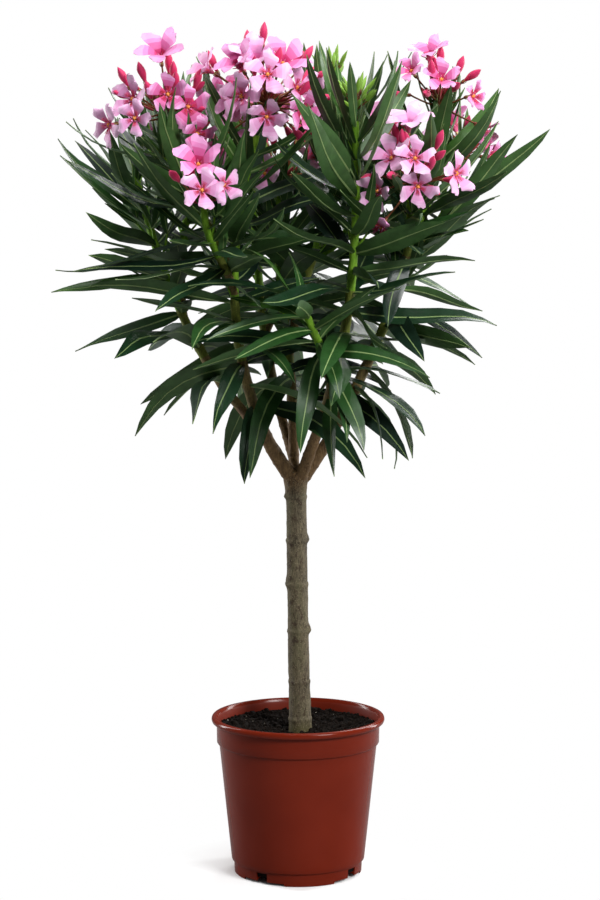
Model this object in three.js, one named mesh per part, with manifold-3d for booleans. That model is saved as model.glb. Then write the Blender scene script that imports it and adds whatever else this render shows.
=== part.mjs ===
// Potted oleander grown as a standard: a bare trunk in a plastic nursery pot, six boughs from its
// fork, leafy shoots with whorls of three long leaves, and pink flower heads on the shoots' tips.
// Millimetres, +Z up, the origin on the floor under the middle of the pot.
import * as THREE from "three";
import { mergeVertices } from "three/addons/utils/BufferGeometryUtils.js";
import Module from "manifold-3d";

const wasm = await Module();
wasm.setup();

// ---------------------------------------------------------------- driving dimensions
const GAP = 0.3; // between neighbouring solids
const CLEAR = 0.7; // between a leaf or flower and what belongs to another mass
const TIDY = 0.15; // faces a join leaves that differ by less than this are merged

const POT = {
  rim: { radius: 105, top: 192, under: 184.5, inner: 99 },
  collar: { radius: 98.5, bottom: 159 },
  wall: { top: 95.7, bottom: 80.9, thick: 1.6 },
  band: { radius: 78.2, top: 16.5 },
  foot: { radius: 77.4, height: 3, arc: 47, count: 4, turn: -79 },
  floor: { under: 5, thick: 2.2 },
  window: { wide: 15, top: 13.5, inner: 66 },
  sides: 40,
};
const COMPOST = { atWall: 179, atTrunk: 172, dishRadius: 60 };

const TRUNK = {
  foot: [3, 0, COMPOST.atTrunk + GAP],
  middle: [-0.8, 0, 330],
  fork: [-2.5, 0, 484],
  footRadius: 13.2,
  radius: 12.4,
  topRadius: 12.2,
  flare: { height: 14, extra: 1.5 },
  // leaf scars left by the whorls: how far each ring stands out, and half its height
  scars: { heights: [188, 234, 296, 353, 406, 459], stand: 0.9, half: 5 },
  sides: 12,
};

// Boughs: foot, tip, radius at each, and how far the middle bows sideways. Each is one tapering limb.
const LIMBS = [
  { name: "bough_left", foot: [-7, -3, 483], tip: [-43, -17, 545], radii: [9.2, 7.4], bow: [-3, 0] },
  { name: "bough_right", foot: [6, 2, 482], tip: [52, 7, 556], radii: [8.2, 6.2], bow: [2, 0] },
  { name: "bough_front_right", foot: [3, -6, 483], tip: [27, -35, 552], radii: [7.4, 6.0], bow: [0, -3] },
  { name: "bough_middle", foot: [-5, 6, 482], tip: [-6, 16, 548], radii: [6.8, 5.6], bow: [0, 2] },
  { name: "bough_left_back", foot: [-27, -9, 517], tip: [-70, 16, 566], radii: [6.2, 5.6], bow: [0, 0] },
  { name: "bough_back", foot: [-5, 9, 502], tip: [-22, 50, 558], radii: [6.0, 5.6], bow: [0, 0] },
];
const LIMB = { sides: 9, rings: 4 };

// Leafy shoots. A shoot grows from a limb's tip, or at a share of another shoot, to its own tip,
// where it leans by so many mm sideways for each mm of rise. phase turns its first whorl.
const SHOOTS = [
  { name: "left", mass: "foliage_left_front", limb: "bough_left",
    tip: [-48, -54, 890], lean: [0.3, 0], phase: 20 },
  { name: "far_left", mass: "foliage_left_front", of: "left", at: 0.5,
    tip: [-148, -46, 890], lean: [-0.1, 0], phase: 75 },
  { name: "low_left", mass: "foliage_left_front", of: "left", at: 0.47,
    tip: [-108, -98, 806], lean: [0, -0.1], phase: 10 },
  { name: "back_left", mass: "foliage_left_back", limb: "bough_left_back",
    tip: [-196, 58, 842], lean: [-0.25, 0], phase: 40 },
  { name: "rear_left", mass: "foliage_left_back", of: "back_left", at: 0.42,
    tip: [-132, 122, 866], lean: [0, 0.2], phase: 95 },
  { name: "front", mass: "foliage_right_front", limb: "bough_front_right",
    tip: [66, -90, 905], lean: [-0.02, 0], phase: 50 },
  { name: "low_front", mass: "foliage_right_front", of: "front", at: 0.1,
    tip: [2, -138, 704], lean: [-0.4, -0.2], phase: 0 },
  { name: "right", mass: "foliage_right", limb: "bough_right",
    tip: [164, 14, 900], lean: [0.08, 0], phase: 0 },
  { name: "far_right", mass: "foliage_right", of: "right", at: 0.45,
    tip: [196, 78, 846], lean: [0.25, 0.1], phase: 70 },
  { name: "low_right", mass: "foliage_right", of: "right", at: 0.5,
    tip: [132, -62, 832], lean: [0.05, -0.2], phase: 35 },
  { name: "centre", mass: "foliage_middle", limb: "bough_middle",
    tip: [-22, 56, 818], lean: [0.1, 0], phase: 15 },
  { name: "centre_right", mass: "foliage_middle", of: "centre", at: 0.26,
    tip: [46, 62, 908], lean: [-0.1, 0], phase: 60 },
  { name: "back", mass: "foliage_back", limb: "bough_back",
    tip: [-62, 140, 880], lean: [-0.1, 0.15], phase: 30 },
  { name: "rear_right", mass: "foliage_back", of: "back", at: 0.3,
    tip: [96, 144, 846], lean: [0.15, 0.15], phase: 85 },
];
const SHOOT = { footRadius: 5.6, sideRadius: 4.4, tipRadius: 2.8, handle: 0.35 };

// Whorls of three leaves, counted down from a shoot's tip.
const WHORL = { first: 8, spacing: 18, growth: 0.35, height: 4.5, footClear: 16, jitter: 18 };
const LEAF = {
  length: 196, // of a full-grown leaf
  young: { share: 0.54, fade: 58 }, // how much shorter at the tip, and over how many mm that fades
  lengthSpread: 0.13,
  widthShare: 0.165,
  spread: { old: 80, young: 54, fade: 62, vary: 9 }, // degrees from the shoot
  roll: 32,
  sweep: 16,
  vary: 16,
  // degrees that a leaf rooted at a height bends along its length, and how far it first sags
  curl: [[570, -66], [630, -40], [690, -14], [760, 8], [830, 32]],
  sag: [[560, 0.24], [630, 0.08], [700, 0]],
  thickShare: 0.014,
  fold: 0.1,
  petiole: 1.5,
  steps: 12,
};
// Steps along a leaf where it has a ring of points, and its share of the full width there.
const BLADE = [[0, 0.13], [3, 0.8], [6, 1], [9, 0.7], [12, 0]];
const STALK_SHARE = 0.12; // of a leaf's first stretch, left out where it is tried against its own mass
// Degrees that a leaf may turn aside and lift to stay clear, and the share of its length it keeps,
// in the order they are tried.
const COMB = [
  [0, 0, 1], [12, 0, 1], [-12, 0, 1], [0, 9, 1], [0, -9, 1], [24, 0, 1], [-24, 0, 1], [14, 12, 1],
  [-14, -12, 1], [36, 0, 1], [-36, 0, 1], [24, -14, 1], [-24, 14, 1], [48, 6, 1], [-48, -6, 1],
  [0, 0, 0.75], [18, 9, 0.75], [-18, -9, 0.75], [32, -9, 0.75], [-32, 9, 0.75], [0, 14, 0.6], [24, -5, 0.6],
  [-24, 5, 0.6], [44, 0, 0.6], [-44, 0, 0.6],
];
const OWN_SPACE = 60; // a leaf's tip may lie this much nearer to another mass's shoots than to its own
const SHORTEST = 0.66; // a leaf may be cut to this share of its length to stay inside the crown

// The crown's outline: how far it reaches to the left and the right at a height. Its reach to the
// front and to the back is a share of the mean of the two.
const CROWN = {
  reach: [
    [466, 1, 1], [474, 92, 96], [520, 188, 162], [580, 238, 172], [635, 288, 228], [660, 268, 240],
    [714, 305, 214], [760, 262, 214], [800, 276, 226], [840, 262, 264], [885, 300, 294], [905, 282, 305],
    [960, 205, 225], [985, 150, 165], [998, 110, 120], [1002, 1, 1],
  ],
  frontShare: 0.93,
  backShare: 0.85,
};

// Flower heads: a stalk beyond its shoot's tip, with flowers and buds on rays round it. The rays open
// by so many degrees, lean to the front, start at a turn, and deal picks their chance differences.
const HEADS = [
  { name: "flowers_left", shoot: "left", stalk: 41.6, flowers: 12, buds: 8,
    ray: 50.4, opens: 126.4, toFront: 0.35, turn: 155.8, deal: 250 },
  { name: "flowers_far_left", shoot: "far_left", stalk: 28.2, flowers: 9, buds: 7,
    ray: 51.2, opens: 109, toFront: 1.23, turn: 306.4, deal: 33 },
  { name: "flowers_low_left", shoot: "low_left", stalk: 8, flowers: 3, buds: 3,
    ray: 54, opens: 66, toFront: 1.73, turn: 308.2, deal: 295 },
  { name: "flowers_centre", shoot: "centre", stalk: 26, flowers: 4, buds: 4,
    ray: 34, opens: 95, toFront: 0.1, turn: 0, deal: 3 },
  { name: "flowers_low_right", shoot: "low_right", stalk: 8, flowers: 7, buds: 7,
    ray: 46.5, opens: 116.6, toFront: 1.1, turn: 119.2, deal: 217 },
  { name: "flowers_right", shoot: "right", stalk: 31.3, flowers: 6, buds: 5,
    ray: 40, opens: 99.3, toFront: 1.09, turn: 118, deal: 100 },
  { name: "flowers_far_right", shoot: "far_right", stalk: 22, flowers: 3, buds: 3,
    ray: 22, opens: 85, toFront: 0.1, turn: 0, deal: 6 },
  { name: "flowers_back", shoot: "back", stalk: 30, flowers: 6, buds: 5,
    ray: 38, opens: 105, toFront: -0.2, turn: 0, deal: 7 },
  { name: "flowers_rear_left", shoot: "rear_left", stalk: 26, flowers: 4, buds: 4,
    ray: 30, opens: 95, toFront: -0.2, turn: 0, deal: 8 },
  { name: "flowers_rear_right", shoot: "rear_right", stalk: 26, flowers: 5, buds: 4,
    ray: 34, opens: 100, toFront: -0.2, turn: 0, deal: 9 },
  { name: "buds_front", shoot: "front", stalk: 18, flowers: 0, buds: 8,
    ray: 12, opens: 50, toFront: 0, turn: 0, deal: 10 },
  { name: "buds_centre_right", shoot: "centre_right", stalk: 50, flowers: 0, buds: 8,
    ray: 14, opens: 45, toFront: 0, turn: 0, deal: 11 },
];
const FLOWER = { petals: 5, radius: 25, shoulder: 17, notch: 11, height: 22, throat: 12, cup: 2.5 };
const BUD = { length: 26, radius: 4, fat: 0.55 };
const RAY = { tip: 1.3, vary: 0.22, budShare: 0.72, clearFrom: 0.3 };
const HUB_RADIUS = 5.5;
const GOLDEN_TURN = 137.508;

const COLOURS = {
  pot: 0x74291f,
  compost: 0x1d1712,
  bark: 0x6f6249,
  leaf: 0x24452a,
  flower: 0xe58bb4,
  bud: 0x7f9c45,
};

// ---------------------------------------------------------------- small helpers
const vec = (x, y, z) => new THREE.Vector3(x, y, z);
const at = (p) => vec(...p);
const radians = THREE.MathUtils.degToRad;
const mix = THREE.MathUtils.lerp;
const UP = vec(0, 0, 1);

/** A number from 0 to 1 that depends only on which piece asks and which trait it asks about. */
function chance(id, trait) {
  const s = Math.sin(id * 12.9898 + trait * 78.233) * 43758.5453;
  return s - Math.floor(s);
}
/** The same, from -1 to 1. */
const wobble = (id, trait) => 2 * chance(id, trait) - 1;

/** A table's value at a height, in a straight line between its rows and level beyond its ends. */
function between(table, height, column = 1) {
  const above = table.findIndex((row) => row[0] > height);
  if (above === 0) return table[0][column];
  if (above < 0) return table[table.length - 1][column];
  const [low, high] = [table[above - 1], table[above]];
  return mix(low[column], high[column], (height - low[0]) / (high[0] - low[0]));
}

/** Two unit vectors square to an axis: the first lies nearest +X. */
function across(axis) {
  const u = vec(1, 0, 0).addScaledVector(axis, -axis.x).normalize();
  return [u, axis.clone().cross(u)];
}

/** The point at an angle and radius round a centre, in the plane of u and v. */
function around(centre, u, v, angle, radius) {
  return centre
    .clone()
    .addScaledVector(u, radius * Math.cos(angle))
    .addScaledVector(v, radius * Math.sin(angle));
}

/** A direction tilted away from an axis, at an angle round it. */
function tilted(axis, tilt, angle) {
  const [u, v] = across(axis);
  return around(axis.clone().multiplyScalar(Math.cos(tilt)), u, v, angle, Math.sin(tilt));
}

/** A manifold solid from points and triangles. */
function solidOf(points, faces) {
  return new wasm.Manifold(
    new wasm.Mesh({
      numProp: 3,
      vertProperties: new Float32Array(points.flatMap((p) => [p.x, p.y, p.z])),
      triVerts: new Uint32Array(faces.flat()),
    }),
  );
}

/** The faces between rings of points that start at the given places. A ring of one point is a tip. */
function ringFaces(rings, starts) {
  const n = rings[0].length;
  const faces = [];
  for (let r = 0; r + 1 < rings.length; r++) {
    const [low, high] = [starts[r], starts[r + 1]];
    for (let i = 0; i < n; i++) {
      const j = (i + 1) % n;
      if (rings[r + 1].length === 1) faces.push([low + i, low + j, high]);
      else faces.push([low + i, low + j, high + j], [low + i, high + j, high + i]);
    }
  }
  return faces;
}

/** A solid from rings of points, closed by a fan at its foot, and at its end if that isn't a tip. */
function ringSolid(rings) {
  const n = rings[0].length;
  const starts = rings.map((_, r) => r * n);
  const faces = ringFaces(rings, starts);
  const last = starts[rings.length - 1];
  for (let i = 1; i + 1 < n; i++) {
    faces.push([0, i + 1, i]);
    if (rings[rings.length - 1].length > 1) faces.push([last, last + i, last + i + 1]);
  }
  return solidOf(rings.flat(), faces);
}

/** A manifold solid from a closed three.js geometry. */
function solidFrom(geometry) {
  const bare = (geometry.index ? geometry.toNonIndexed() : geometry).clone();
  bare.deleteAttribute("normal");
  bare.deleteAttribute("uv");
  const merged = mergeVertices(bare, 1e-3);
  return new wasm.Manifold(
    new wasm.Mesh({
      numProp: 3,
      vertProperties: merged.attributes.position.array,
      triVerts: new Uint32Array(merged.index.array),
    }),
  );
}

/** The geometry of a solid's largest body: sealed hollows are filled and loose scraps dropped. */
function geometryOf(solid) {
  const bodies = solid.simplify(TIDY).decompose();
  const largest = bodies.reduce((a, b) => (b.volume() > a.volume() ? b : a));
  const mesh = largest.getMesh();
  const position = new Float32Array(mesh.numVert * 3);
  for (let i = 0; i < mesh.numVert; i++) {
    position.set(mesh.vertProperties.subarray(i * mesh.numProp, i * mesh.numProp + 3), i * 3);
  }
  return new THREE.BufferGeometry()
    .setAttribute("position", new THREE.BufferAttribute(position, 3))
    .setIndex(new THREE.BufferAttribute(new Uint32Array(mesh.triVerts), 1));
}

const joined = (solids) => wasm.Manifold.union(solids);

/** What already fills the space: a new piece may ask whether it would come too near. */
class Taken {
  constructor(solids = []) {
    this.entries = [];
    for (const solid of solids) this.add(solid);
  }
  add(solid) {
    this.entries.push({ solid, box: solid.boundingBox() });
  }
  near(solid, gap = CLEAR) {
    const box = solid.boundingBox();
    const apart = (other) =>
      [0, 1, 2].some((k) => box.min[k] > other.max[k] + gap || other.min[k] > box.max[k] + gap);
    return this.entries.some((entry) => !apart(entry.box) && entry.solid.minGap(solid, gap) < gap);
  }
}

/** A round limb along a curve, its radius going evenly from one end's to the other's. */
function tube(curve, from, to, sides, rings, grow = 0) {
  const made = [];
  for (let r = 0; r <= rings; r++) {
    const t = r / rings;
    const axis = curve.getTangent(t);
    const [u, v] = across(axis);
    const centre = curve.getPoint(t);
    if (r === 0) centre.addScaledVector(axis, -grow);
    if (r === rings) centre.addScaledVector(axis, grow);
    const turn = (i) => (2 * Math.PI * i) / sides;
    const radius = mix(from, to, t) + grow;
    made.push(Array.from({ length: sides }, (_, i) => around(centre, u, v, turn(i), radius)));
  }
  return ringSolid(made);
}

// ---------------------------------------------------------------- pot and compost
/** Inner radius of the pot's wall at a height. */
function insideRadius(z) {
  const { wall, collar, band } = POT;
  if (z >= collar.bottom) return collar.radius - wall.thick;
  if (z <= band.top) return band.radius - wall.thick;
  const share = (z - band.top) / (collar.bottom - band.top);
  return THREE.MathUtils.lerp(wall.bottom, wall.top, share) - wall.thick;
}

function potSolid() {
  const { rim, collar, wall, band, foot, floor, window, sides } = POT;
  const step = 1.4; // height of the slope at each change of radius
  const floorTop = floor.under + floor.thick;
  const profile = [
    [0, floor.under],
    [foot.radius - wall.thick, floor.under],
    [foot.radius - wall.thick, 0],
    [foot.radius, 0],
    [band.radius, band.top - step],
    [wall.bottom, band.top],
    [wall.top, collar.bottom],
    [collar.radius, collar.bottom + step],
    [collar.radius + 0.3, rim.under],
    [rim.radius - 1.4, rim.under],
    [rim.radius, rim.under + 2.4],
    [rim.radius, rim.top - 2.4],
    [rim.radius - 1.8, rim.top],
    [rim.inner, rim.top],
    [insideRadius(rim.top), collar.bottom + step],
    [wall.top - wall.thick, collar.bottom],
    [wall.bottom - wall.thick, band.top + 0.5],
    [band.radius - wall.thick, band.top - step],
    [band.radius - wall.thick, floorTop],
    [0, floorTop],
  ].map(([r, z]) => new THREE.Vector2(r, z));
  const shell = new THREE.LatheGeometry(profile, sides).rotateX(Math.PI / 2);

  const cuts = [];
  const pitch = 360 / foot.count;
  for (let i = 0; i < foot.count; i++) {
    const middle = radians(foot.turn + i * pitch);
    // between two feet the foot ring stops short of the floor
    const gap = new THREE.Shape();
    const from = middle + radians(foot.arc / 2);
    const to = middle + radians(pitch - foot.arc / 2);
    gap.moveTo(0, 0);
    for (let k = 0; k <= 4; k++) {
      const a = THREE.MathUtils.lerp(from, to, k / 4);
      gap.lineTo(2 * foot.radius * Math.cos(a), 2 * foot.radius * Math.sin(a));
    }
    cuts.push(
      new THREE.ExtrudeGeometry(gap, { depth: foot.height + 1, bevelEnabled: false }).translate(0, 0, -1),
    );
    // and a drainage window opens the corner of wall and floor
    const reach = foot.radius + 10 - window.inner;
    cuts.push(
      new THREE.BoxGeometry(reach, window.wide, window.top + 1)
        .translate(window.inner + reach / 2, 0, (window.top - 1) / 2)
        .rotateZ(middle + radians(pitch / 2)),
    );
  }
  return cuts.reduce((pot, cut) => pot.subtract(solidFrom(cut)), solidFrom(shell));
}

function compostSolid() {
  const { collar, band, floor, sides } = POT;
  const bottom = floor.under + floor.thick + GAP;
  const profile = [
    [0, bottom],
    [insideRadius(0) - GAP, bottom],
    [insideRadius(0) - GAP, band.top - 1.4],
    [insideRadius(band.top + 0.6) - 2 * GAP, band.top + 0.6],
    [insideRadius(collar.bottom - 0.1) - 2 * GAP, collar.bottom],
    [insideRadius(collar.bottom - 0.1) - 2 * GAP, COMPOST.atWall],
    [COMPOST.dishRadius, (COMPOST.atWall + COMPOST.atTrunk) / 2],
    [TRUNK.footRadius + 8, COMPOST.atTrunk],
    [0, COMPOST.atTrunk],
  ].map(([r, z]) => new THREE.Vector2(r, z));
  return solidFrom(new THREE.LatheGeometry(profile, sides).rotateX(Math.PI / 2));
}

// ---------------------------------------------------------------- trunk and boughs
const trunkCurve = new THREE.QuadraticBezierCurve3(at(TRUNK.foot), at(TRUNK.middle), at(TRUNK.fork));

/** Radius of the trunk at a height: a slight root flare, an even taper and the leaf scars' rings. */
function trunkRadius(z) {
  const { foot, middle, fork, footRadius, radius, topRadius, flare, scars } = TRUNK;
  const body = between([[foot[2], footRadius], [middle[2], radius], [fork[2], topRadius]], z);
  const rooted = flare.extra * Math.exp((foot[2] - z) / flare.height);
  const ring = scars.heights.map((h) => scars.stand * (1 - Math.abs(z - h) / scars.half));
  return body + rooted + Math.max(0, ...ring);
}

/** The trunk, with rings of points where its outline changes and its top rounded off. */
function trunkSolid(grow = 0) {
  const { foot, fork, scars, sides } = TRUNK;
  const heights = [foot[2] - grow, foot[2] + 6, fork[2] - 9];
  for (const h of scars.heights) heights.push(h - scars.half, h, h + scars.half);
  heights.sort((a, b) => a - b);
  const ring = (z, radius) => {
    const share = THREE.MathUtils.clamp((z - foot[2]) / (fork[2] - foot[2]), 0, 1);
    const { x, y } = trunkCurve.getPoint(share);
    const turn = (i) => (2 * Math.PI * i) / sides;
    return Array.from({ length: sides }, (_, i) =>
      around(vec(x, y, z), vec(1, 0, 0), vec(0, 1, 0), turn(i), radius + grow));
  };
  const rings = heights.map((z) => ring(z, trunkRadius(z)));
  return ringSolid([...rings, ring(fork[2] - 2, 10.2), ring(fork[2] + 2 + grow, 5.5)]);
}

/** A limb's centre line: straight but for a slight bow in the middle. */
function limbCurve({ foot, tip, bow }) {
  const middle = at(foot).lerp(at(tip), 0.5).add(vec(2 * bow[0], 2 * bow[1], 0));
  return new THREE.QuadraticBezierCurve3(at(foot), middle, at(tip));
}

const limbCurves = new Map(LIMBS.map((limb) => [limb.name, limbCurve(limb)]));

function limbSolid({ name, radii }, grow = 0) {
  return tube(limbCurves.get(name), radii[0], radii[1], LIMB.sides, LIMB.rings, grow);
}

// ---------------------------------------------------------------- shoots
/** A shoot's centre line: it leaves along its bearer and ends with the lean it is given. */
function shootCurve(shoot) {
  const tip = at(shoot.tip);
  let foot, lead;
  if (shoot.of) {
    const bearer = shootCurves.get(shoot.of);
    foot = bearer.getPoint(shoot.at);
    lead = bearer.getTangent(shoot.at).lerp(tip.clone().sub(foot).normalize(), 0.6).normalize();
  } else {
    const limb = limbCurves.get(shoot.limb);
    lead = limb.getTangent(1);
    foot = limb.getPoint(1).addScaledVector(lead, GAP);
  }
  const reach = tip.distanceTo(foot) * SHOOT.handle;
  const end = vec(shoot.lean[0], shoot.lean[1], 1).normalize();
  const leaving = foot.clone().addScaledVector(lead, reach);
  return new THREE.CubicBezierCurve3(foot, leaving, tip.clone().addScaledVector(end, -reach), tip);
}

const shootCurves = new Map();
for (const shoot of SHOOTS) shootCurves.set(shoot.name, shootCurve(shoot));

// Points along every shoot, to tell whose space a point lies in.
const stemPoints = SHOOTS.flatMap(({ name, mass }) =>
  shootCurves.get(name).getSpacedPoints(16).map((point) => ({ mass, point })));

/** Three corners round a shoot's centre line, so many mm below its tip, and turned by an angle. */
function shootRing(shoot, below, turn) {
  const curve = shootCurves.get(shoot.name);
  const t = 1 - below / curve.getLength();
  const radius = mix(shoot.of ? SHOOT.sideRadius : SHOOT.footRadius, SHOOT.tipRadius, t);
  const [u, v] = across(curve.getTangent(t));
  return [60, 180, 300].map((corner) => around(curve.getPoint(t), u, v, radians(turn + corner), radius));
}

/**
 * A shoot and its leaves as one skin. The stem is three-sided, turns by 60 degrees from whorl to
 * whorl, and each whorl has a short stretch with one leaf on each of its three sides.
 * leaves has three leaves, or nothing in their place, for each whorl.
 */
function shootSolid(shoot, leaves = []) {
  const points = [];
  const faces = [];
  const push = (ring) => points.push(...ring) - ring.length;
  const fill = (a, b, c, d) => faces.push([a, b, c], [a, c, d]);
  const turnOf = (whorl) => shoot.phase + 60 * whorl;
  let last = 0;
  while (whorlDepth(shoot, last + 1)) last++;

  let below = push(shootRing(shoot, shootCurves.get(shoot.name).getLength(), turnOf(last)));
  faces.push([below, below + 2, below + 1]);
  for (let whorl = last; whorl >= 0; whorl--) {
    const depth = whorlDepth(shoot, whorl);
    const lower = push(shootRing(shoot, depth + WHORL.height / 2, turnOf(whorl)));
    const upper = push(shootRing(shoot, depth - WHORL.height / 2, turnOf(whorl)));
    for (let j = 0; j < 3; j++) {
      const next = (j + 1) % 3;
      const before = (j + 2) % 3;
      if (whorl === last) fill(below + before, below + j, lower + j, lower + before);
      else faces.push([below + before, below + j, lower + j], [below + j, lower + next, lower + j]);
      const [right, left, leftFoot, rightFoot] = [upper + j, upper + before, lower + before, lower + j];
      const leaf = leaves[whorl]?.[j];
      if (!leaf) {
        fill(right, left, leftFoot, rightFoot);
        continue;
      }
      const rings = leafRings(leaf).slice(1);
      const starts = rings.map(push);
      const [edgeRight, edgeLeft, keel] = [starts[0], starts[0] + 1, starts[0] + 2];
      fill(right, left, edgeLeft, edgeRight);
      fill(left, leftFoot, keel, edgeLeft);
      faces.push([leftFoot, rightFoot, keel]);
      fill(rightFoot, right, edgeRight, keel);
      faces.push(...ringFaces(rings, starts));
    }
    below = upper;
  }
  const top = push(shootRing(shoot, 0, turnOf(0)));
  for (let j = 0; j < 3; j++) fill(below + j, below + ((j + 1) % 3), top + ((j + 1) % 3), top + j);
  faces.push([top, top + 1, top + 2]);
  return solidOf(points, faces);
}

// ---------------------------------------------------------------- leaves
/** The points of a leaf's bent midrib, each with the leaf's rise and heading there. */
function midrib({ root, rise, heading, curl, sweep, length }) {
  const point = root.clone();
  const made = [];
  const stride = length / LEAF.steps;
  for (let i = 0; i <= LEAF.steps; i++) {
    const t = i / LEAF.steps;
    made.push({ point: point.clone(), rise: rise + curl * t, heading: heading + sweep * t });
    const up = rise + curl * (t + 0.5 / LEAF.steps);
    const to = heading + sweep * (t + 0.5 / LEAF.steps);
    point.x += stride * Math.cos(up) * Math.cos(to);
    point.y += stride * Math.cos(up) * Math.sin(to);
    point.z += stride * Math.sin(up);
  }
  return made;
}

/** Whether a point lies inside the crown's outline. */
function insideCrown({ x, y, z }) {
  const left = between(CROWN.reach, z, 1);
  const right = between(CROWN.reach, z, 2);
  const wide = x < 0 ? left : right;
  const deep = ((y < 0 ? CROWN.frontShare : CROWN.backShare) * (left + right)) / 2;
  return (x / wide) ** 2 + (y / deep) ** 2 < 1;
}

/** Whether a point is nearer to a mass's own shoots than to the others, give or take OWN_SPACE. */
function inOwnSpace(mass, point) {
  const nearest = (wanted) =>
    Math.min(...stemPoints.filter(wanted).map((stem) => stem.point.distanceTo(point)));
  return nearest((stem) => stem.mass === mass) < nearest((stem) => stem.mass !== mass) + OWN_SPACE;
}

/** How many mm below its shoot's tip a whorl stands, or nothing where the shoot is bare. */
function whorlDepth(shoot, whorl) {
  const below = WHORL.first + whorl * (WHORL.spacing + WHORL.growth * whorl);
  return below < shootCurves.get(shoot.name).getLength() - WHORL.footClear ? below : null;
}

/** One leaf's traits: where it is rooted, how it sets off, bends and turns, and its size. */
function leafTraits(shoot, index, whorl, side, [turned, lifted, kept]) {
  const curve = shootCurves.get(shoot.name);
  const below = whorlDepth(shoot, whorl);
  const t = 1 - below / curve.getLength();
  const root = curve.getPoint(t);
  const id = index * 100 + whorl * 3 + side;
  const { spread, young } = LEAF;
  const open = spread.old - spread.young * Math.exp(-below / spread.fade);
  const tilt = open + spread.vary * wobble(id, 2) - lifted;
  const turn = shoot.phase + 60 * whorl + 120 * side + WHORL.jitter * wobble(id, 1) + turned;
  const lead = tilted(curve.getTangent(t), radians(tilt), radians(turn));
  lead.z -= between(LEAF.sag, root.z);
  lead.normalize();
  const size = kept * LEAF.length * (1 - young.share * Math.exp(-below / young.fade));
  const traits = {
    root,
    heading: Math.atan2(lead.y, lead.x),
    rise: Math.asin(lead.z),
    curl: radians(between(LEAF.curl, root.z) + LEAF.vary * wobble(id, 4)),
    sweep: radians(LEAF.sweep * wobble(id, 5)),
    roll: radians(LEAF.roll * wobble(id, 6)),
    length: size * (1 + LEAF.lengthSpread * wobble(id, 3)),
    width: LEAF.widthShare * size * (1 + 0.08 * wobble(id, 7)),
  };
  const shortest = SHORTEST * traits.length;
  const fits = (point) => insideCrown(point) && inOwnSpace(shoot.mass, point);
  while (traits.length > shortest && !fits(midrib(traits)[LEAF.steps].point)) traits.length -= 2;
  return traits.length > shortest ? traits : null;
}

/** The rings of a leaf's keeled blade along its midrib: its left and right edge and its keel. */
function leafRings(traits) {
  const rib = midrib(traits);
  return BLADE.map(([step, share]) => {
    const { point, rise, heading } = rib[step];
    if (step === LEAF.steps) return [point];
    const side = vec(-Math.sin(heading), Math.cos(heading), 0);
    const ahead = vec(Math.cos(heading), Math.sin(heading), 0);
    const above = ahead.multiplyScalar(-Math.sin(rise)).addScaledVector(UP, Math.cos(rise));
    const flat = around(vec(0, 0, 0), side, above, traits.roll, 1);
    const face = around(vec(0, 0, 0), above, side, -traits.roll, 1);
    const half = Math.max(LEAF.petiole, (traits.width * share) / 2);
    const keel = Math.max(LEAF.petiole, LEAF.thickShare * traits.length);
    const edge = point.clone().addScaledVector(face, LEAF.fold * half + 0.5);
    return [
      edge.clone().addScaledVector(flat, half),
      edge.clone().addScaledVector(flat, -half),
      point.clone().addScaledVector(face, -keel),
    ];
  });
}

/** A leaf on its own, without the given share of its first stretch. */
function leafSolid(traits, without = 0) {
  const rings = leafRings(traits);
  rings[0].forEach((point, i) => point.lerp(rings[1][i], without));
  return ringSolid(rings);
}

// ---------------------------------------------------------------- flower heads
/** The three corners of a ray's neck: round its end, each abreast of a corner of its root. */
function neckRing(root, end, radius) {
  const middle = root[0].clone().add(root[1]).add(root[2]).divideScalar(3);
  const axis = end.clone().sub(middle).normalize();
  return root.map((corner) => {
    const out = corner.clone().sub(middle);
    return end.clone().addScaledVector(out.addScaledVector(axis, -out.dot(axis)).normalize(), radius);
  });
}

/** A flower on its ray: a star-shaped funnel, notched between its petals, with a sunk throat. */
function flowerOnRay(root, end, facing, turn) {
  const neck = neckRing(root, end, RAY.tip);
  const [u, v] = across(facing);
  const place = (radius, angle, height) =>
    around(end.clone().addScaledVector(facing, height), u, v, angle, radius);
  // the star's first point is the one nearest in angle to the neck's first corner
  const corner = neck[0].clone().sub(end);
  const start = Math.atan2(corner.dot(v), corner.dot(u)) + turn;
  const edge = radians(FLOWER.shoulder);
  const star = [];
  for (let p = 0; p < FLOWER.petals; p++) {
    const petal = start + (2 * Math.PI * p) / FLOWER.petals;
    star.push(
      place(FLOWER.radius, petal - edge, FLOWER.height),
      place(FLOWER.radius * 0.94, petal + edge, FLOWER.height + FLOWER.cup),
      place(FLOWER.notch, petal + Math.PI / FLOWER.petals, FLOWER.height - FLOWER.cup),
    );
  }
  const n = star.length;
  const faces = ringFaces([root, neck], [0, 3]);
  for (let i = 0; i < 3; i++) {
    // each corner of the neck fans out to its third of the star
    const first = Math.round(((i - 0.5) * n) / 3);
    const last = Math.round(((i + 0.5) * n) / 3);
    for (let p = first; p < last; p++) faces.push([3 + i, 6 + ((p + 1 + n) % n), 6 + ((p + n) % n)]);
    faces.push([3 + i, 3 + ((i + 1) % 3), 6 + (last % n)]);
  }
  for (let p = 0; p < n; p++) faces.push([6 + n, 6 + p, 6 + ((p + 1) % n)]);
  return { points: [...root, ...neck, ...star, place(0, 0, FLOWER.throat)], faces };
}

/** A bud on its ray: a spindle, thickest past its middle. */
function budOnRay(root, end, facing) {
  const neck = neckRing(root, end, RAY.tip);
  const fattest = end.clone().addScaledVector(facing, BUD.length * BUD.fat);
  const tip = end.clone().addScaledVector(facing, BUD.length);
  const rings = [root, neck, neckRing(neck, fattest, BUD.radius), [tip]];
  return { points: rings.flat(), faces: ringFaces(rings, [0, 3, 6, 9]) };
}

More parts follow.
